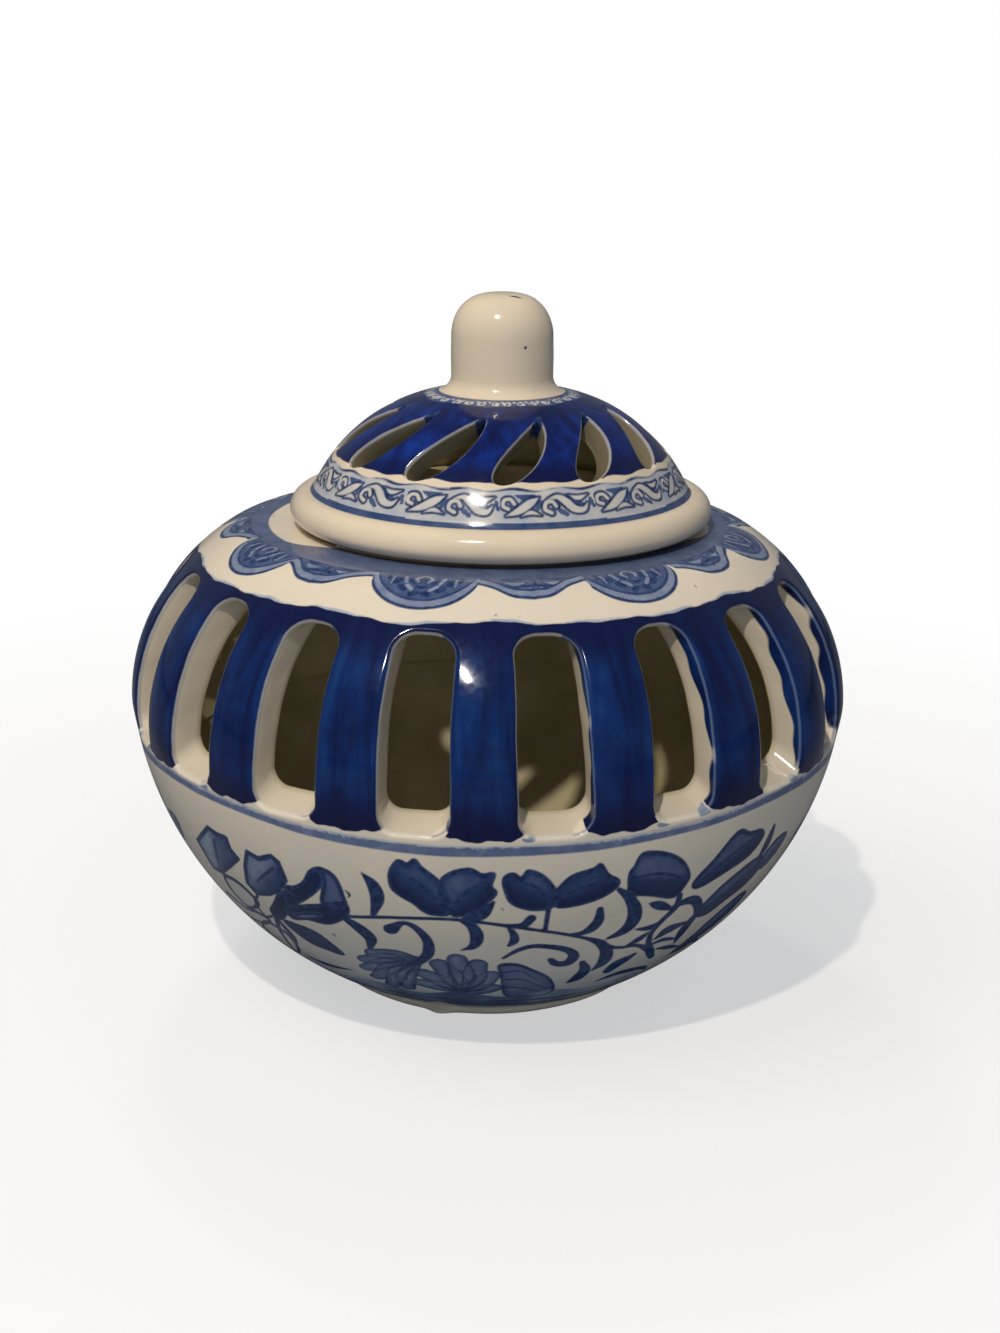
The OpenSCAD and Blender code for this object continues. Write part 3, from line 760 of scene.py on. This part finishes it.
def sides(corners, counts):
    """A closed box path with so many even steps on each side"""
    ends = corners[1:] + corners[:1]
    return np.concatenate([resample((a, b), n) for a, b, n in zip(corners, ends, counts)])


def tile(uv, index, columns, rows, area):
    """A cell's map moved to its own tile of an area, with a small margin"""
    u0, v0, u1, v1 = area
    size = np.array(((u1 - u0) / columns, (v1 - v0) / rows))
    return np.array((u0, v0)) + (np.array((index % columns, index // columns)) + 0.02 + 0.96 * uv) * size


# Degrees that one slot at the back sits off its place: in the photo no background shows past it
WANDERS = {6: 0.9}


def slot_outline(index, counts):
    """A hand-cut upright slot: soft corners, each slot a little different"""
    rng = np.random.default_rng(40 + index)
    low = sill_line(PITCH * (index + 0.5)) + rng.uniform(-0.15, 0.15)
    high = SLOT_TOP + rng.uniform(-0.25, 0.25)
    half = 5.2 * DEG * (1 + rng.uniform(-0.025, 0.025))
    lean = rng.uniform(-0.25, 0.25)
    r_low, r_high = jar_profile(low)[0], jar_profile(high)[0]

    def radius(m):
        return r_low + (r_high - r_low) * (m - low) / (high - low)

    corners = []
    kinds = ((-1, low, 2.7, 180), (1, low, 2.9, 270), (1, high, 4.3, 0), (-1, high, 4.1, 90))
    for side, end, soft, start in kinds:
        soft += rng.uniform(-0.3, 0.3)
        level = end + soft if end == low else end - soft
        wide = half * radius(level)
        corners.append(arc((side * (wide - soft), level), soft, start, start + 90, 25))
    runs = [a[12:] + b[:13] for a, b in zip(corners, corners[1:] + corners[:1])]
    x, m = np.concatenate([resample(run, count) for run, count in zip(runs, counts)]).T
    wave = 0.09 * np.sin(m * 0.28 + index) + 0.02 * np.sin(m * 0.9 + 2 * index)
    return np.stack(((x + wave) / radius(m) / DEG + lean * (m - 19) / 19 + WANDERS.get(index, 0.0), m), -1)


# The seam between wall and bowl: a step, whose inner edge reaches down behind it
SEAM_R, SEAM_LAP = 61.0, 4.0


def make_wall(material):
    skin = Skin()
    half, wall_centre = PITCH / 2, (WALL_X, BELLY_Z)
    counts = (N_JAR // SLOTS, 72, N_JAR // SLOTS, 72)
    box = sides([(-half, 0), (half, 0), (half, CELL_TOP), (-half, CELL_TOP)], counts)
    for k in range(SLOTS):
        index = k if k < SLOTS / 2 else k - SLOTS
        middle, outline = PITCH * (index + 0.5), slot_outline(index, counts)
        points, phi, m, cuts, uv = cell(
            jar_profile, wall_inside, 0.0, bar_wobble, middle, outline, box,
            lapped=1.0, soft=0.8, rings=(12, 5, 4),
        )
        skin.add(points, phi, m, paint_wall(phi, m) | cuts, tile(uv, k, 6, 3, (0, 0, 1, 0.74)))
    m = np.linspace(CELL_TOP, M_MOUTH, 28)
    skin.turn(rows_of(jar_profile, m), N_JAR, jar_wobble, m, paint_wall, (0, 0.75, 1, 0.92), folds=3)
    # Hidden faces that meet the mouth ring and the bowl
    neck = NECK_R + 0.12
    r, z, _ = jar_profile(M_MOUTH)
    top = even((r, z), (r, RING_STEP), 3) + even((neck, RING_STEP), (neck, RING_LOW + 0.2), 2)
    neck_turn = math.acos((neck - WALL_X) / WALL_IN)
    top += arc(wall_centre, WALL_IN, neck_turn / DEG, wall_inside(CELL_TOP)[2] / DEG, 4)
    skin.turn(top, N_JAR, jar_wobble, 50.0, INSIDE, (0, 0.93, 1, 0.96))
    low_turn = math.asin((SEAM_Z - SEAM_LAP - BELLY_Z) / WALL_IN)
    low = arc(wall_centre, WALL_IN, wall_inside(0.0)[2] / DEG, low_turn / DEG, 6)
    low += even((SEAM_R, SEAM_Z - SEAM_LAP), (SEAM_R, SEAM_Z), 2)
    low += even((SEAM_R + 0.6, SEAM_Z), jar_profile(0.0)[:2], 2)
    skin.turn(low, N_JAR, jar_wobble, 0.0, INSIDE, (0, 0.965, 1, 0.995))
    skin.build("pierced_wall", "jar", "openwork_wall", "cobalt_wall", material)


def make_bowl(material):
    skin = Skin()
    m = np.linspace(M_FOOT, 0.0, 158)
    outside = rows_of(jar_profile, m)
    skin.turn(outside, N_JAR, jar_wobble, m, paint_bowl, (0, 0, 1, 0.8), folds=3)
    base = even((0.0, 2.2), (23.0, 2.2), 4) + even((27.0, 1.6), outside[0], 3)
    skin.turn(base, N_JAR, lambda phi, z: 0.0, M_FOOT, UNDERSIDE, (0, 0.81, 1, 0.88))
    step, floor_z = SEAM_R + 0.1, 7.6
    hidden = even(outside[-1], (step, SEAM_Z), 3) + even((step, SEAM_Z - 0.4), (step, SEAM_Z - SEAM_LAP), 2)
    turns = [-math.asin((BOWL_Z - z) / BOWL_IN) / DEG for z in (SEAM_Z - SEAM_LAP, floor_z)]
    hidden += arc((0.0, BOWL_Z), BOWL_IN, *turns, 22)
    r = hidden[-1][0]
    hidden += [(r - 1.5, 7.2), (r * 0.66, 7.4), (r * 0.33, floor_z), (0.0, 7.7)]
    skin.turn(hidden, N_JAR, lambda phi, z: jar_wobble(phi, z) * (z > 9), -20.0, INSIDE, (0, 0.89, 1, 0.99))
    skin.build("painted_bowl", "jar", "lower_bowl", "painted_bowl", material)


def make_mouth(material):
    skin = Skin()
    soft, m_split = 1.2, 53.0
    m_end = M_SEAT + EDGE_X - MOUTH_R - soft
    m = np.concatenate((np.linspace(M_MOUTH, m_split, 22), np.linspace(m_split + 0.6, m_end, 6)))
    outside = rows_of(jar_profile, m)
    skin.turn(outside, N_JAR, jar_wobble, m, paint_wall, (0, 0, 1, 0.7), folds=3)
    lip = [outside[-1]] + arc((MOUTH_R + soft, SEAT_Z - soft), soft, 90, 180, 8)
    lip += even((MOUTH_R, 82.0), (MOUTH_R, 80.2), 3) + arc((MOUTH_R + 0.7, RING_LOW + 0.7), 0.7, 180, 270, 4)
    skin.turn(lip, N_JAR, jar_wobble, 60.0, {}, (0, 0.71, 1, 0.85))
    low = [lip[-1]] + even((37.0, RING_LOW), (NECK_R, RING_LOW), 2)
    low += even((NECK_R, RING_STEP), (RING_R, RING_STEP), 2) + [outside[0]]
    skin.turn(low, N_JAR, jar_wobble, 60.0, UNDERSIDE, (0, 0.86, 1, 0.98))
    skin.build("mouth_and_seat", "jar", "mouth_ring", "cobalt_wall", material)


def turned(names, material, profile, columns, wobble, shift=0.0, edge=PLAIN["edge"], folds=1):
    """A closed piece turned from one profile"""
    skin = Skin()
    heights = [z for _, z in profile]
    fields = {"edge": np.reshape(edge, (-1, 1))}
    skin.turn(profile, columns, wobble, heights, fields, (0, 0, 1, 0.99), shift, folds=folds)
    skin.build(*names, material)


def make_foot(material):
    def worn(phi, z):
        t = phi * DEG
        drip = 1.5 * np.exp(-(((phi + 15) / 4.2) ** 2)) * np.exp(-((z - 0.7) / 1.0) ** 2)
        return 0.08 * np.sin(3 * t + 1) + 0.05 * np.sin(11 * t) * (z < 1.2) + drip

    top, inner, outer = 2.3, 24.0, 29.6
    profile = [(outer, top), (30.1, 1.9)] + arc((29.2, 1.0), 1.0, 28, -90, 10)
    profile += even((28.6, 0.0), (25.3, 0.0), 6) + arc((inner + 0.9, 0.8), 0.8, 270, 180, 6)
    profile += [(inner, 1.5), (inner + 0.2, top), (outer, top)]
    turned(("foot", "jar", "foot_ring", "foot"), material, profile, 504, worn)


def leaf_outline(index, counts):
    """A slot of the lid: round at the bottom, drawn out to a tip, with the tip's height"""
    rng = np.random.default_rng(80 + index)
    low, high = LID_SLOT_LOW + rng.uniform(-0.2, 0.2), LID_SLOT_HIGH + rng.uniform(-0.5, 0.5)
    wide = 3.65 * (1 + rng.uniform(-0.06, 0.06))
    rise = 0.5 - 0.5 * np.cos(math.pi * np.linspace(0, 1, 120))
    width = wide * np.sin(math.pi * np.clip(rise, 0, 1) ** 0.62) ** 0.72 * (1 - 0.25 * rise)
    width += 0.9 * np.sqrt(np.clip(rise * (1 - rise), 0, 1)) * rise
    m = low + (high - low) * rise
    left, right = np.stack((-width, m), -1), np.stack((width * 0.96, m), -1)
    a, b = 30, 100
    bottom = np.vstack((left[a::-1], right[1 : a + 1]))
    tip = np.vstack((right[b:], left[-2 : b - 1 : -1]))
    parts = (bottom, right[a : b + 1], tip, left[b : a - 1 : -1])
    return np.concatenate([resample(p, n) for p, n in zip(parts, counts)]), high


def lean(m):
    """How far the dome's cells lean to the right, in degrees"""
    return LID_LEAN * (np.asarray(m, float) - LID_SLOT_LOW) / (LID_SLOT_HIGH - LID_SLOT_LOW)


def make_dome(material):
    skin = Skin()
    foot, low, high = 0.6, 8.2, 26.4
    half, first, last = LID_PITCH / 2, float(lean(low)), float(lean(high))
    counts = (N_LID // LID_SLOTS, 56, N_LID // LID_SLOTS, 56)
    box = sides([(first - half, low), (first + half, low), (last + half, high), (last - half, high)], counts)
    for k in range(LID_SLOTS):
        outline, tip = leaf_outline(k, counts)
        x, m = outline.T
        path = np.stack((x / dome_profile(m)[0] / DEG + lean(m), m), -1)
        middle = LID_TURN + LID_PITCH * k - (360 if k > LID_SLOTS / 2 else 0)
        points, phi, m, cuts, uv = cell(
            dome_profile, dome_inside, LID_X, lid_wobble, middle, path, box,
            lapped=0.0, soft=0.55, rings=(10, 5, 4),
        )
        # Ink pooled in a groove above the tip, and dark in the slot's narrow end, partly cobalt run in and
        # partly painted shade
        fields = paint_dome(phi, m) | cuts
        across = (phi - middle - lean(m)) * DEG * dome_profile(m)[0]
        groove = 0.55 - np.hypot(across * 0.9, (m - tip - 0.2) * 0.5)
        tip_ink_and_shade = 1.2 - np.hypot(across, m - tip + 0.3)
        ink = np.where(cuts["edge"] < 0.2, tip_ink_and_shade, np.maximum(fields["ink"], groove))
        fields["ink"] = np.where(cuts["edge"] < -6.5, NOWHERE, ink)
        skin.add(points, phi, m, fields, tile(uv, k, 6, 2, (0, 0, 1, 0.6)))
    for levels, twist, area, folds in (
        (np.linspace(foot, low, 38), first, (0, 0.61, 1, 0.86), 3),
        (np.linspace(high, D_TOP, 16), last, (0, 0.87, 1, 0.93), 1),
    ):
        rows = rows_of(dome_profile, levels)
        skin.turn(rows, N_LID, lid_wobble, levels, paint_dome, area, LID_X, LID_TURN + twist, folds=folds)
    # Top under the knob, crown inside, and foot
    centre, crown_z = (DOME_X, DOME_Z), DOME_Z + DOME_IN
    r, z, _ = dome_profile(D_TOP)
    rim_turn = math.asin((RIM_TOP - DOME_Z) / DOME_IN)
    crown = [(0.0, crown_z), (3.0, crown_z)] + arc(centre, DOME_IN, 90, dome_inside(high)[2] / DEG, 6)
    low_ring = arc(centre, DOME_IN, dome_inside(low)[2] / DEG, rim_turn / DEG, 6)
    for profile, twist, area in (
        ([(r, z), (r - 0.2, DOME_TOP), (0.0, DOME_TOP)], last, (0, 0.935, 1, 0.945)),
        (crown, last, (0, 0.95, 1, 0.97)),
        (low_ring + [(33.0, RIM_TOP), dome_profile(foot)[:2]], first, (0, 0.975, 1, 0.995)),
    ):
        skin.turn(profile, N_LID, lid_wobble, 40.0, INSIDE, area, LID_X, LID_TURN + twist, calm=8.0)
    skin.build("pierced_dome", "lid", "lid_dome", "cobalt_lid", material)


def make_lid_rim(material):
    # The bead stands a hair clear of the seat, which leaves the dark line under it
    low, inner, bead_r, bead_z = 84.42, 26.5, 3.3, 87.3
    ring = arc((34.88, bead_z), bead_r, -95, 103, 40)
    bead = [(r, z if z > bead_z else bead_z - (bead_z - z) * 0.74) for r, z in ring]
    profile = even((inner, low), (33.4, low), 6) + [(33.6, 84.55), (33.9, 84.75)] + bead
    profile += [(33.8, 90.2), (33.4, RIM_TOP)] + even((30.0, RIM_TOP), (inner, RIM_TOP), 3)
    profile += even((inner, 87.5), (inner, low), 3)
    edge = [INSIDE["edge"] if r < 33.5 else PLAIN["edge"] for r, _ in profile]
    turned(("rolled_rim", "lid", "lid_rim", "white_glaze"), material, profile, 480, lid_wobble, LID_X, edge,
           3)


def make_flange(material):
    inner, outer, low, soft = 26.5, 29.98, 79.6, 1.2
    profile = [(inner, SEAT_Z)] + arc((inner + soft, low), soft, 180, 270, 6)
    profile += arc((outer - soft, low), soft, 270, 360, 6)
    profile += [(outer, 82.0), (outer, SEAT_Z), (inner, SEAT_Z)]
    edge = [PLAIN["edge"] if r > 28.2 else -4.0 for r, _ in profile]
    names = ("lid_flange_glazed", "lid_carrier", "lid_flange", "white_glaze")
    turned(names, material, profile, 360, lid_wobble, LID_X, edge)


def make_knob(material):
    stem, crown_z, crown_h, top = 9.2, 117.6, 8.0, 125.6
    profile = [(0.0, 107.5), (10.9, 107.6), (11.3, 108.1)] + arc((11.9, 111.0), 2.75, 258, 183, 12)
    profile += [(9.18, 112.5), (9.22, 114.0), (9.22, 115.5), (9.18, 117.0)]
    a = np.linspace(4 * DEG, 89 * DEG, 26)
    profile += list(zip(stem * np.cos(a) ** 0.72, crown_z + crown_h * np.sin(a) ** 0.92)) + [(0.0, top)]
    r, heights = np.array(profile).T

    def pinched(phi, z):
        t = phi * DEG
        return (0.10 * np.sin(2 * t + 0.7 + z / 9) + 0.05 * np.sin(3 * t + z / 5)) * (z < top - 1.1)

    def flecks(phi, z):
        """An iron speck at the right and a short mark on the crown"""
        speck = 0.32 - np.hypot((phi - 26) * DEG * 9.3, z - 117.0)
        x, y = r[:, None] * np.sin(phi * DEG), r[:, None] * np.cos(phi * DEG)
        mark = 0.5 - np.hypot((x - 2.2) * 0.4, (y - 3.4) * 1.4) - (z < 123) * 9
        return {"ink": np.maximum(speck, mark)}

    skin = Skin()
    skin.turn(profile, 320, pinched, heights, flecks, (0, 0, 1, 0.99), LID_X, folds=2)
    skin.build("knob", "lid", "lid_knob", "white_glaze", material)


class Graph:
    """A short way to write a material's nodes"""

    def __init__(self, name):
        self.material = bpy.data.materials.new(name)
        self.material.use_nodes = True
        self.tree = self.material.node_tree
        self.shader = self.tree.nodes["Principled BSDF"]

    def put(self, socket, value):
        if isinstance(value, bpy.types.NodeSocket):
            self.tree.links.new(value, socket)
        elif value is not None:
            socket.default_value = value

    def fill(self, node, **inputs):
        """Sets a node's inputs by name, where base_color stands for Base Color"""
        for name, value in inputs.items():
            self.put(node.inputs[name.replace("_", " ").title()], value)

    def node(self, kind, *values, **settings):
        node = self.tree.nodes.new("ShaderNode" + kind)
        for key, value in settings.items():
            setattr(node, key, value)
        for socket, value in zip(node.inputs, values):
            self.put(socket, value)
        return node

    def field(self, name):
        return self.node("Attribute", attribute_name=name).outputs["Fac"]

    def flow(self, scale):
        """The place on the unrolled surface"""
        source = self.node("Attribute", attribute_name="flow").outputs["Vector"]
        return self.node("VectorMath", source, scale, operation="MULTIPLY").outputs[0]

    def place_mm(self):
        source = self.node("TexCoord").outputs["Object"]
        return self.node("VectorMath", source, (1 / MM,) * 3, operation="MULTIPLY").outputs[0]

    def math(self, operation, a, b):
        return self.node("Math", a, b, operation=operation).outputs[0]

    def plus(self, a, b, amount=None):
        """a with b added, or with so much of b"""
        return self.math("ADD", a, b if amount is None else self.times(b, amount))

    def times(self, a, b):
        return self.math("MULTIPLY", a, b)

    def shaken(self, noise, amount):
        """A noise that swings about zero"""
        return self.times(self.math("SUBTRACT", noise, 0.5), amount)

    def noise(self, vector, scale, detail=2.0, roughness=0.5, distortion=0.0):
        node = self.node("TexNoise")
        self.fill(node, vector=vector, scale=scale, detail=detail, roughness=roughness, distortion=distortion)
        return node.outputs["Fac"]

    def ease(self, value, low, high, to_low=0.0, to_high=1.0):
        node = self.node("MapRange", interpolation_type="SMOOTHSTEP")
        self.fill(node, value=value, from_min=low, from_max=high, to_min=to_low, to_max=to_high)
        return node.outputs["Result"]

    def mix(self, amount, a, b):
        node = self.node("Mix", amount, data_type="RGBA")
        for socket, value in ((node.inputs[6], a), (node.inputs[7], b)):
            self.put(socket, (*value, 1.0) if isinstance(value, tuple) else value)
        return node.outputs[2]

    def ramp(self, value, stops):
        node = self.node("ValToRGB", value)
        elements = node.color_ramp.elements
        while len(elements) < len(stops):
            elements.new(0.5)
        for element, (at, colour) in zip(elements, stops):
            element.position, element.color = at, (*colour, 1.0)
        return node.outputs[0]

    def finish(self, colour, roughness, height, strength, distance):
        """Links colour, gloss and a bump to the shader"""
        bump = self.node("Bump")
        self.fill(bump, strength=strength, distance=distance, height=height)
        self.fill(self.shader, base_color=colour, roughness=roughness, normal=bump.outputs[0])
        return self.material


# Wash from thin to thick, and the other colours of the glaze and its painting
WASH = [
    (0.0, (0.64, 0.60, 0.53)),
    (0.22, (0.36, 0.41, 0.50)),
    (0.45, (0.13, 0.167, 0.29)),
    (0.7, (0.024, 0.054, 0.152)),
    (1.0, (0.007, 0.019, 0.075)),
]
INK = ((0.009, 0.022, 0.085), (0.030, 0.065, 0.18))
# The inside's colours are painted shade: the glaze darkened to the dim light inside the jar and lid
INSIDE_SHADE = ((0.36, 0.305, 0.155), (0.50, 0.43, 0.25))
# The last of these is painted shade: the darker, colder cream that the lower bowl turns to towards the foot
POOLED_COBALT, IRON_SPECK, LOW_SHADE_CREAM = (0.0025, 0.005, 0.045), (0.16, 0.10, 0.05), (0.38, 0.45, 0.50)
PALE_EDGE, LAPPED_EDGE = (0.60, 0.57, 0.50), (0.13, 0.19, 0.31)


def lay_cobalt(g, colour, place_mm, shake, height, stops, brush, low_end, high_end):
    """Streaked cobalt, pooled towards its edges and at both ends of the bars"""
    streak = g.times(g.noise(g.flow(brush), 1.0, 3, 0.55, 0.9), 0.62)
    streak = g.plus(streak, g.noise(place_mm, 0.13, 3, 0.55, 0.5), 0.38)
    cobalt = g.plus(g.field("cobalt"), shake, 0.8)
    ends = g.math("MAXIMUM", g.ease(height, *low_end), g.ease(height, *high_end))
    pool = g.math("MAXIMUM", g.ease(cobalt, 0.9, 0.05, 0.0, 0.55), ends)
    deep = g.mix(pool, g.ramp(streak, stops), POOLED_COBALT)
    return g.mix(g.ease(cobalt, -0.14, 0.14), colour, deep)


def lay_edges(g, colour, edge, shake, cut):
    """Slot edges where the glaze runs thin, and bare cut faces up to where the cobalt laps over them"""
    thin = g.plus(edge, shake, 0.6)
    lap = g.field("lap")
    covered = g.ease(lap, 0.0, 0.4)
    ridge = g.times(covered, g.ease(thin, 0.05, -0.2))
    pale = g.times(g.ease(thin, 0.42, 0.12, 0.0, 0.6), g.math("SUBTRACT", 1.0, ridge))
    colour = g.mix(pale, colour, g.mix(covered, PALE_EDGE, LAPPED_EDGE))
    return g.mix(g.ease(g.plus(edge, lap), 0.05, -0.5), colour, cut)


def glaze_material(name, stops, brush, cut, low_end, high_end, cream, low_shade):
    """Cream glaze over cobalt painting, with a soft wet edge to every brush mark"""
    g = Graph(name)
    place_mm, edge = g.place_mm(), g.field("edge")
    height = g.node("SeparateXYZ", g.flow((1, 1, 1))).outputs[2]
    broad, fine = g.noise(place_mm, 0.05, 3), g.noise(place_mm, 0.9, 3)
    shake = g.shaken(g.noise(place_mm, 0.4, 3, 0.55), 0.34)
    # Cream, painted darker and colder towards the foot as shade, with iron specks
    colour = g.mix(g.ease(broad, 0.35, 0.65), *cream)
    colour = g.mix(g.ease(height, -14.0, -50.0, 0.0, low_shade), colour, LOW_SHADE_CREAM)
    speck = g.times(g.ease(g.noise(place_mm, 0.42, 1), 0.785, 0.80), 0.55)
    colour = g.mix(speck, colour, IRON_SPECK)
    # Painting
    tone = g.plus(g.field("tone"), g.shaken(g.noise(place_mm, 0.3, 4, 0.65), 0.34))
    colour = g.mix(g.ease(g.plus(g.field("wash"), shake, 0.6), -0.24, 0.2), colour, g.ramp(tone, WASH))
    colour = lay_cobalt(g, colour, place_mm, shake, height, stops, brush, low_end, high_end)
    colour = lay_edges(g, colour, edge, shake, cut)
    ink = g.plus(g.field("ink"), shake, 0.45)
    colour = g.mix(g.ease(ink, -0.2, 0.2), colour, g.mix(g.ease(fine, 0.3, 0.75), *INK))
    # The inside is painted darker, as shade, and is duller
    inside = g.ease(edge, -4.5, -7.5)
    colour = g.mix(inside, colour, g.mix(g.ease(broad, 0.3, 0.7), *INSIDE_SHADE))
    gloss = g.plus(g.ease(fine, 0.2, 0.8, 0.09, 0.16), inside, 0.4)
    ripple = g.plus(g.noise(place_mm, 0.11, 2), g.noise(place_mm, 0.7, 2), 0.05)
    return g.finish(colour, gloss, ripple, 0.5, 0.00025)


def foot_material():
    """Glaze wiped off the standing edge, with a brown iron line where it stops"""
    clay, glaze, iron = ((0.50, 0.42, 0.31), (0.66, 0.58, 0.46)), (0.70, 0.62, 0.50), (0.26, 0.13, 0.05)
    g = Graph("foot_edge")
    place_mm = g.place_mm()
    grain, broad = g.noise(place_mm, 2.2, 5, 0.7), g.noise(place_mm, 0.12, 3)
    level = g.plus(g.node("SeparateXYZ", place_mm).outputs[2], g.shaken(broad, 0.9))
    colour = g.mix(g.ease(level, 0.25, 0.5), g.mix(g.ease(grain, 0.3, 0.75), *clay), glaze)
    rust = g.times(g.ease(level, 0.1, 0.3), g.ease(level, 0.62, 0.35))
    colour = g.mix(g.times(rust, 0.7), colour, iron)
    rough = g.times(grain, g.ease(level, 0.55, 0.25))
    gloss = g.ease(level, 0.25, 0.55, 0.75, 0.14)
    return g.finish(colour, gloss, rough, 0.4, 0.00015)


def floor_material():
    """White where the camera sees it away from the shadow, and dim for the light that it bounces"""
    g = Graph("floor")
    place_m, rays = g.node("TexCoord").outputs["Object"], g.node("LightPath").outputs
    seen = rays["Is Camera Ray"]
    paper = g.mix(g.noise(place_m, 9.0, 4), (0.90, 0.90, 0.90), (0.94, 0.94, 0.94))
    bounce = g.mix(rays["Is Diffuse Ray"], (0.14, 0.15, 0.17), (0.30, 0.34, 0.40))
    g.fill(g.shader, base_color=g.mix(seen, bounce, paper), roughness=0.8)
    g.shader.inputs["Specular IOR Level"].default_value = 0.1
    away = g.node("VectorMath", place_m, operation="LENGTH").outputs["Value"]
    far = g.ease(away, 0.05, 0.30, 0.55, 1.0)
    white = g.node("Emission").outputs[0]
    sweep = g.node("MixShader", g.times(far, seen), g.shader.outputs[0], white)
    g.put(g.tree.nodes["Material Output"].inputs["Surface"], sweep.outputs[0])
    return g.material


def make_camera():
    """A camera at the photograph's height and distance"""
    data = bpy.data.cameras.new("camera")
    data.sensor_fit = "VERTICAL"
    data.sensor_height = 36.0
    data.lens = 54.07
    data.clip_start = 0.01
    look_down, tilt, stand = 16.82, 0.65, (2.25 * MM, -357.3 * MM, 164.6 * MM)
    pitch = Euler(((90 - look_down) * DEG, 0.0, 0.0)).to_matrix().to_4x4()
    roll = Matrix.Rotation(tilt * DEG, 4, "Z")
    camera = add_object("camera", data)
    camera.matrix_world = Matrix.Translation(stand) @ (pitch @ roll)
    bpy.context.scene.camera = camera


def make_floor():
    half = 3.0
    mesh = bpy.data.meshes.new("floor")
    corners = [(-half, -half, 0), (half, -half, 0), (half, half, 0), (-half, half, 0)]
    mesh.from_pydata(corners, [], [(0, 1, 2, 3)])
    mesh.materials.append(floor_material())
    floor = add_object("floor", mesh)


def make_world():
    """A dim room that the camera sees as white"""
    world = bpy.data.worlds.new("studio")
    bpy.context.scene.world = world
    world.use_nodes = True
    tree = world.node_tree
    back = tree.nodes["Background"]
    path = tree.nodes.new("ShaderNodeLightPath")
    seen = tree.nodes.new("ShaderNodeMix")
    seen.data_type = "RGBA"
    seen.inputs[6].default_value = (0.13, 0.143, 0.168, 1)
    seen.inputs[7].default_value = (1, 1, 1, 1)
    tree.links.new(path.outputs["Is Camera Ray"], seen.inputs[0])
    tree.links.new(seen.outputs[2], back.inputs["Color"])
    back.inputs["Strength"].default_value = 1.0


def lamp(name, stand, aim_height, size, power, colour, mirrored=False):
    """An area lamp, in metres, that looks at a height on the jar's axis"""
    data = bpy.data.lights.new(name, "AREA")
    data.shape = "DISK" if size < 0.2 else "SQUARE"
    data.size = size
    data.energy = power
    data.color = colour
    light = add_object(name, data)
    light.visible_glossy = mirrored
    way = (Vector((0, 0, aim_height)) - Vector(stand)).to_track_quat("-Z", "Y")
    light.matrix_world = Matrix.Translation(stand) @ way.to_matrix().to_4x4()


make_camera()
make_floor()
make_world()
lamp("ceiling", (-0.6, -0.25, 1.15), 0.05, 0.7, 4.4, (1.0, 0.91, 0.80))
lamp("lamp_front", (-0.24, -0.72, 1.13), 0.07, 0.036, 9.2, (1.0, 0.93, 0.83), mirrored=True)
lamp("lamp_back", (-0.2, 0.85, 1.0), 0.06, 0.2, 2.2, (1.0, 0.95, 0.88))
lamp("fill_front", (0.1, -0.95, 0.10), 0.03, 0.4, 1.6, (0.88, 0.94, 1.0))
lamp("fill_back", (0.3, 0.95, 0.3), 0.05, 0.5, 1.3, (0.92, 0.96, 1.0))
bpy.context.scene.view_settings.view_transform = "Standard"

# Cobalt from thick to thin, and where along the wall or dome it pools
jar_glaze = glaze_material(
    "painted_glaze_jar",
    [
        (0.34, (0.0010, 0.004, 0.040)),
        (0.46, (0.0014, 0.010, 0.07)),
        (0.58, (0.002, 0.022, 0.12)),
        (0.7, (0.008, 0.046, 0.17)),
    ],
    brush=(0.21, 0.21, 0.03),
    cut=(0.64, 0.56, 0.43),
    low_end=(10.0, 4.0, 0.0, 0.85),
    high_end=(29.0, 35.0, 0.0, 0.8),
    cream=((0.80, 0.70, 0.555), (0.76, 0.675, 0.545)),
    # How far the lower bowl is painted darker and colder, as shade
    low_shade=0.8,
)
lid_glaze = glaze_material(
    "painted_glaze_lid",
    [
        (0.32, (0.0012, 0.004, 0.05)),
        (0.48, (0.0018, 0.010, 0.10)),
        (0.6, (0.003, 0.025, 0.21)),
        (0.74, (0.006, 0.045, 0.30)),
    ],
    brush=(0.10, 0.10, 0.16),
    # The lid's cut faces are painted dark, as the shade inside its slots
    cut=(0.20, 0.17, 0.11),
    low_end=(15.0, 11.0, 0.0, 0.75),
    high_end=(22.5, 27.0, 0.0, 0.5),
    cream=((0.79, 0.665, 0.495), (0.75, 0.64, 0.485)),
    low_shade=0.0,
)
make_bowl(jar_glaze)
make_wall(jar_glaze)
make_mouth(jar_glaze)
make_foot(foot_material())
make_dome(lid_glaze)
make_lid_rim(lid_glaze)
make_knob(lid_glaze)
make_flange(lid_glaze)
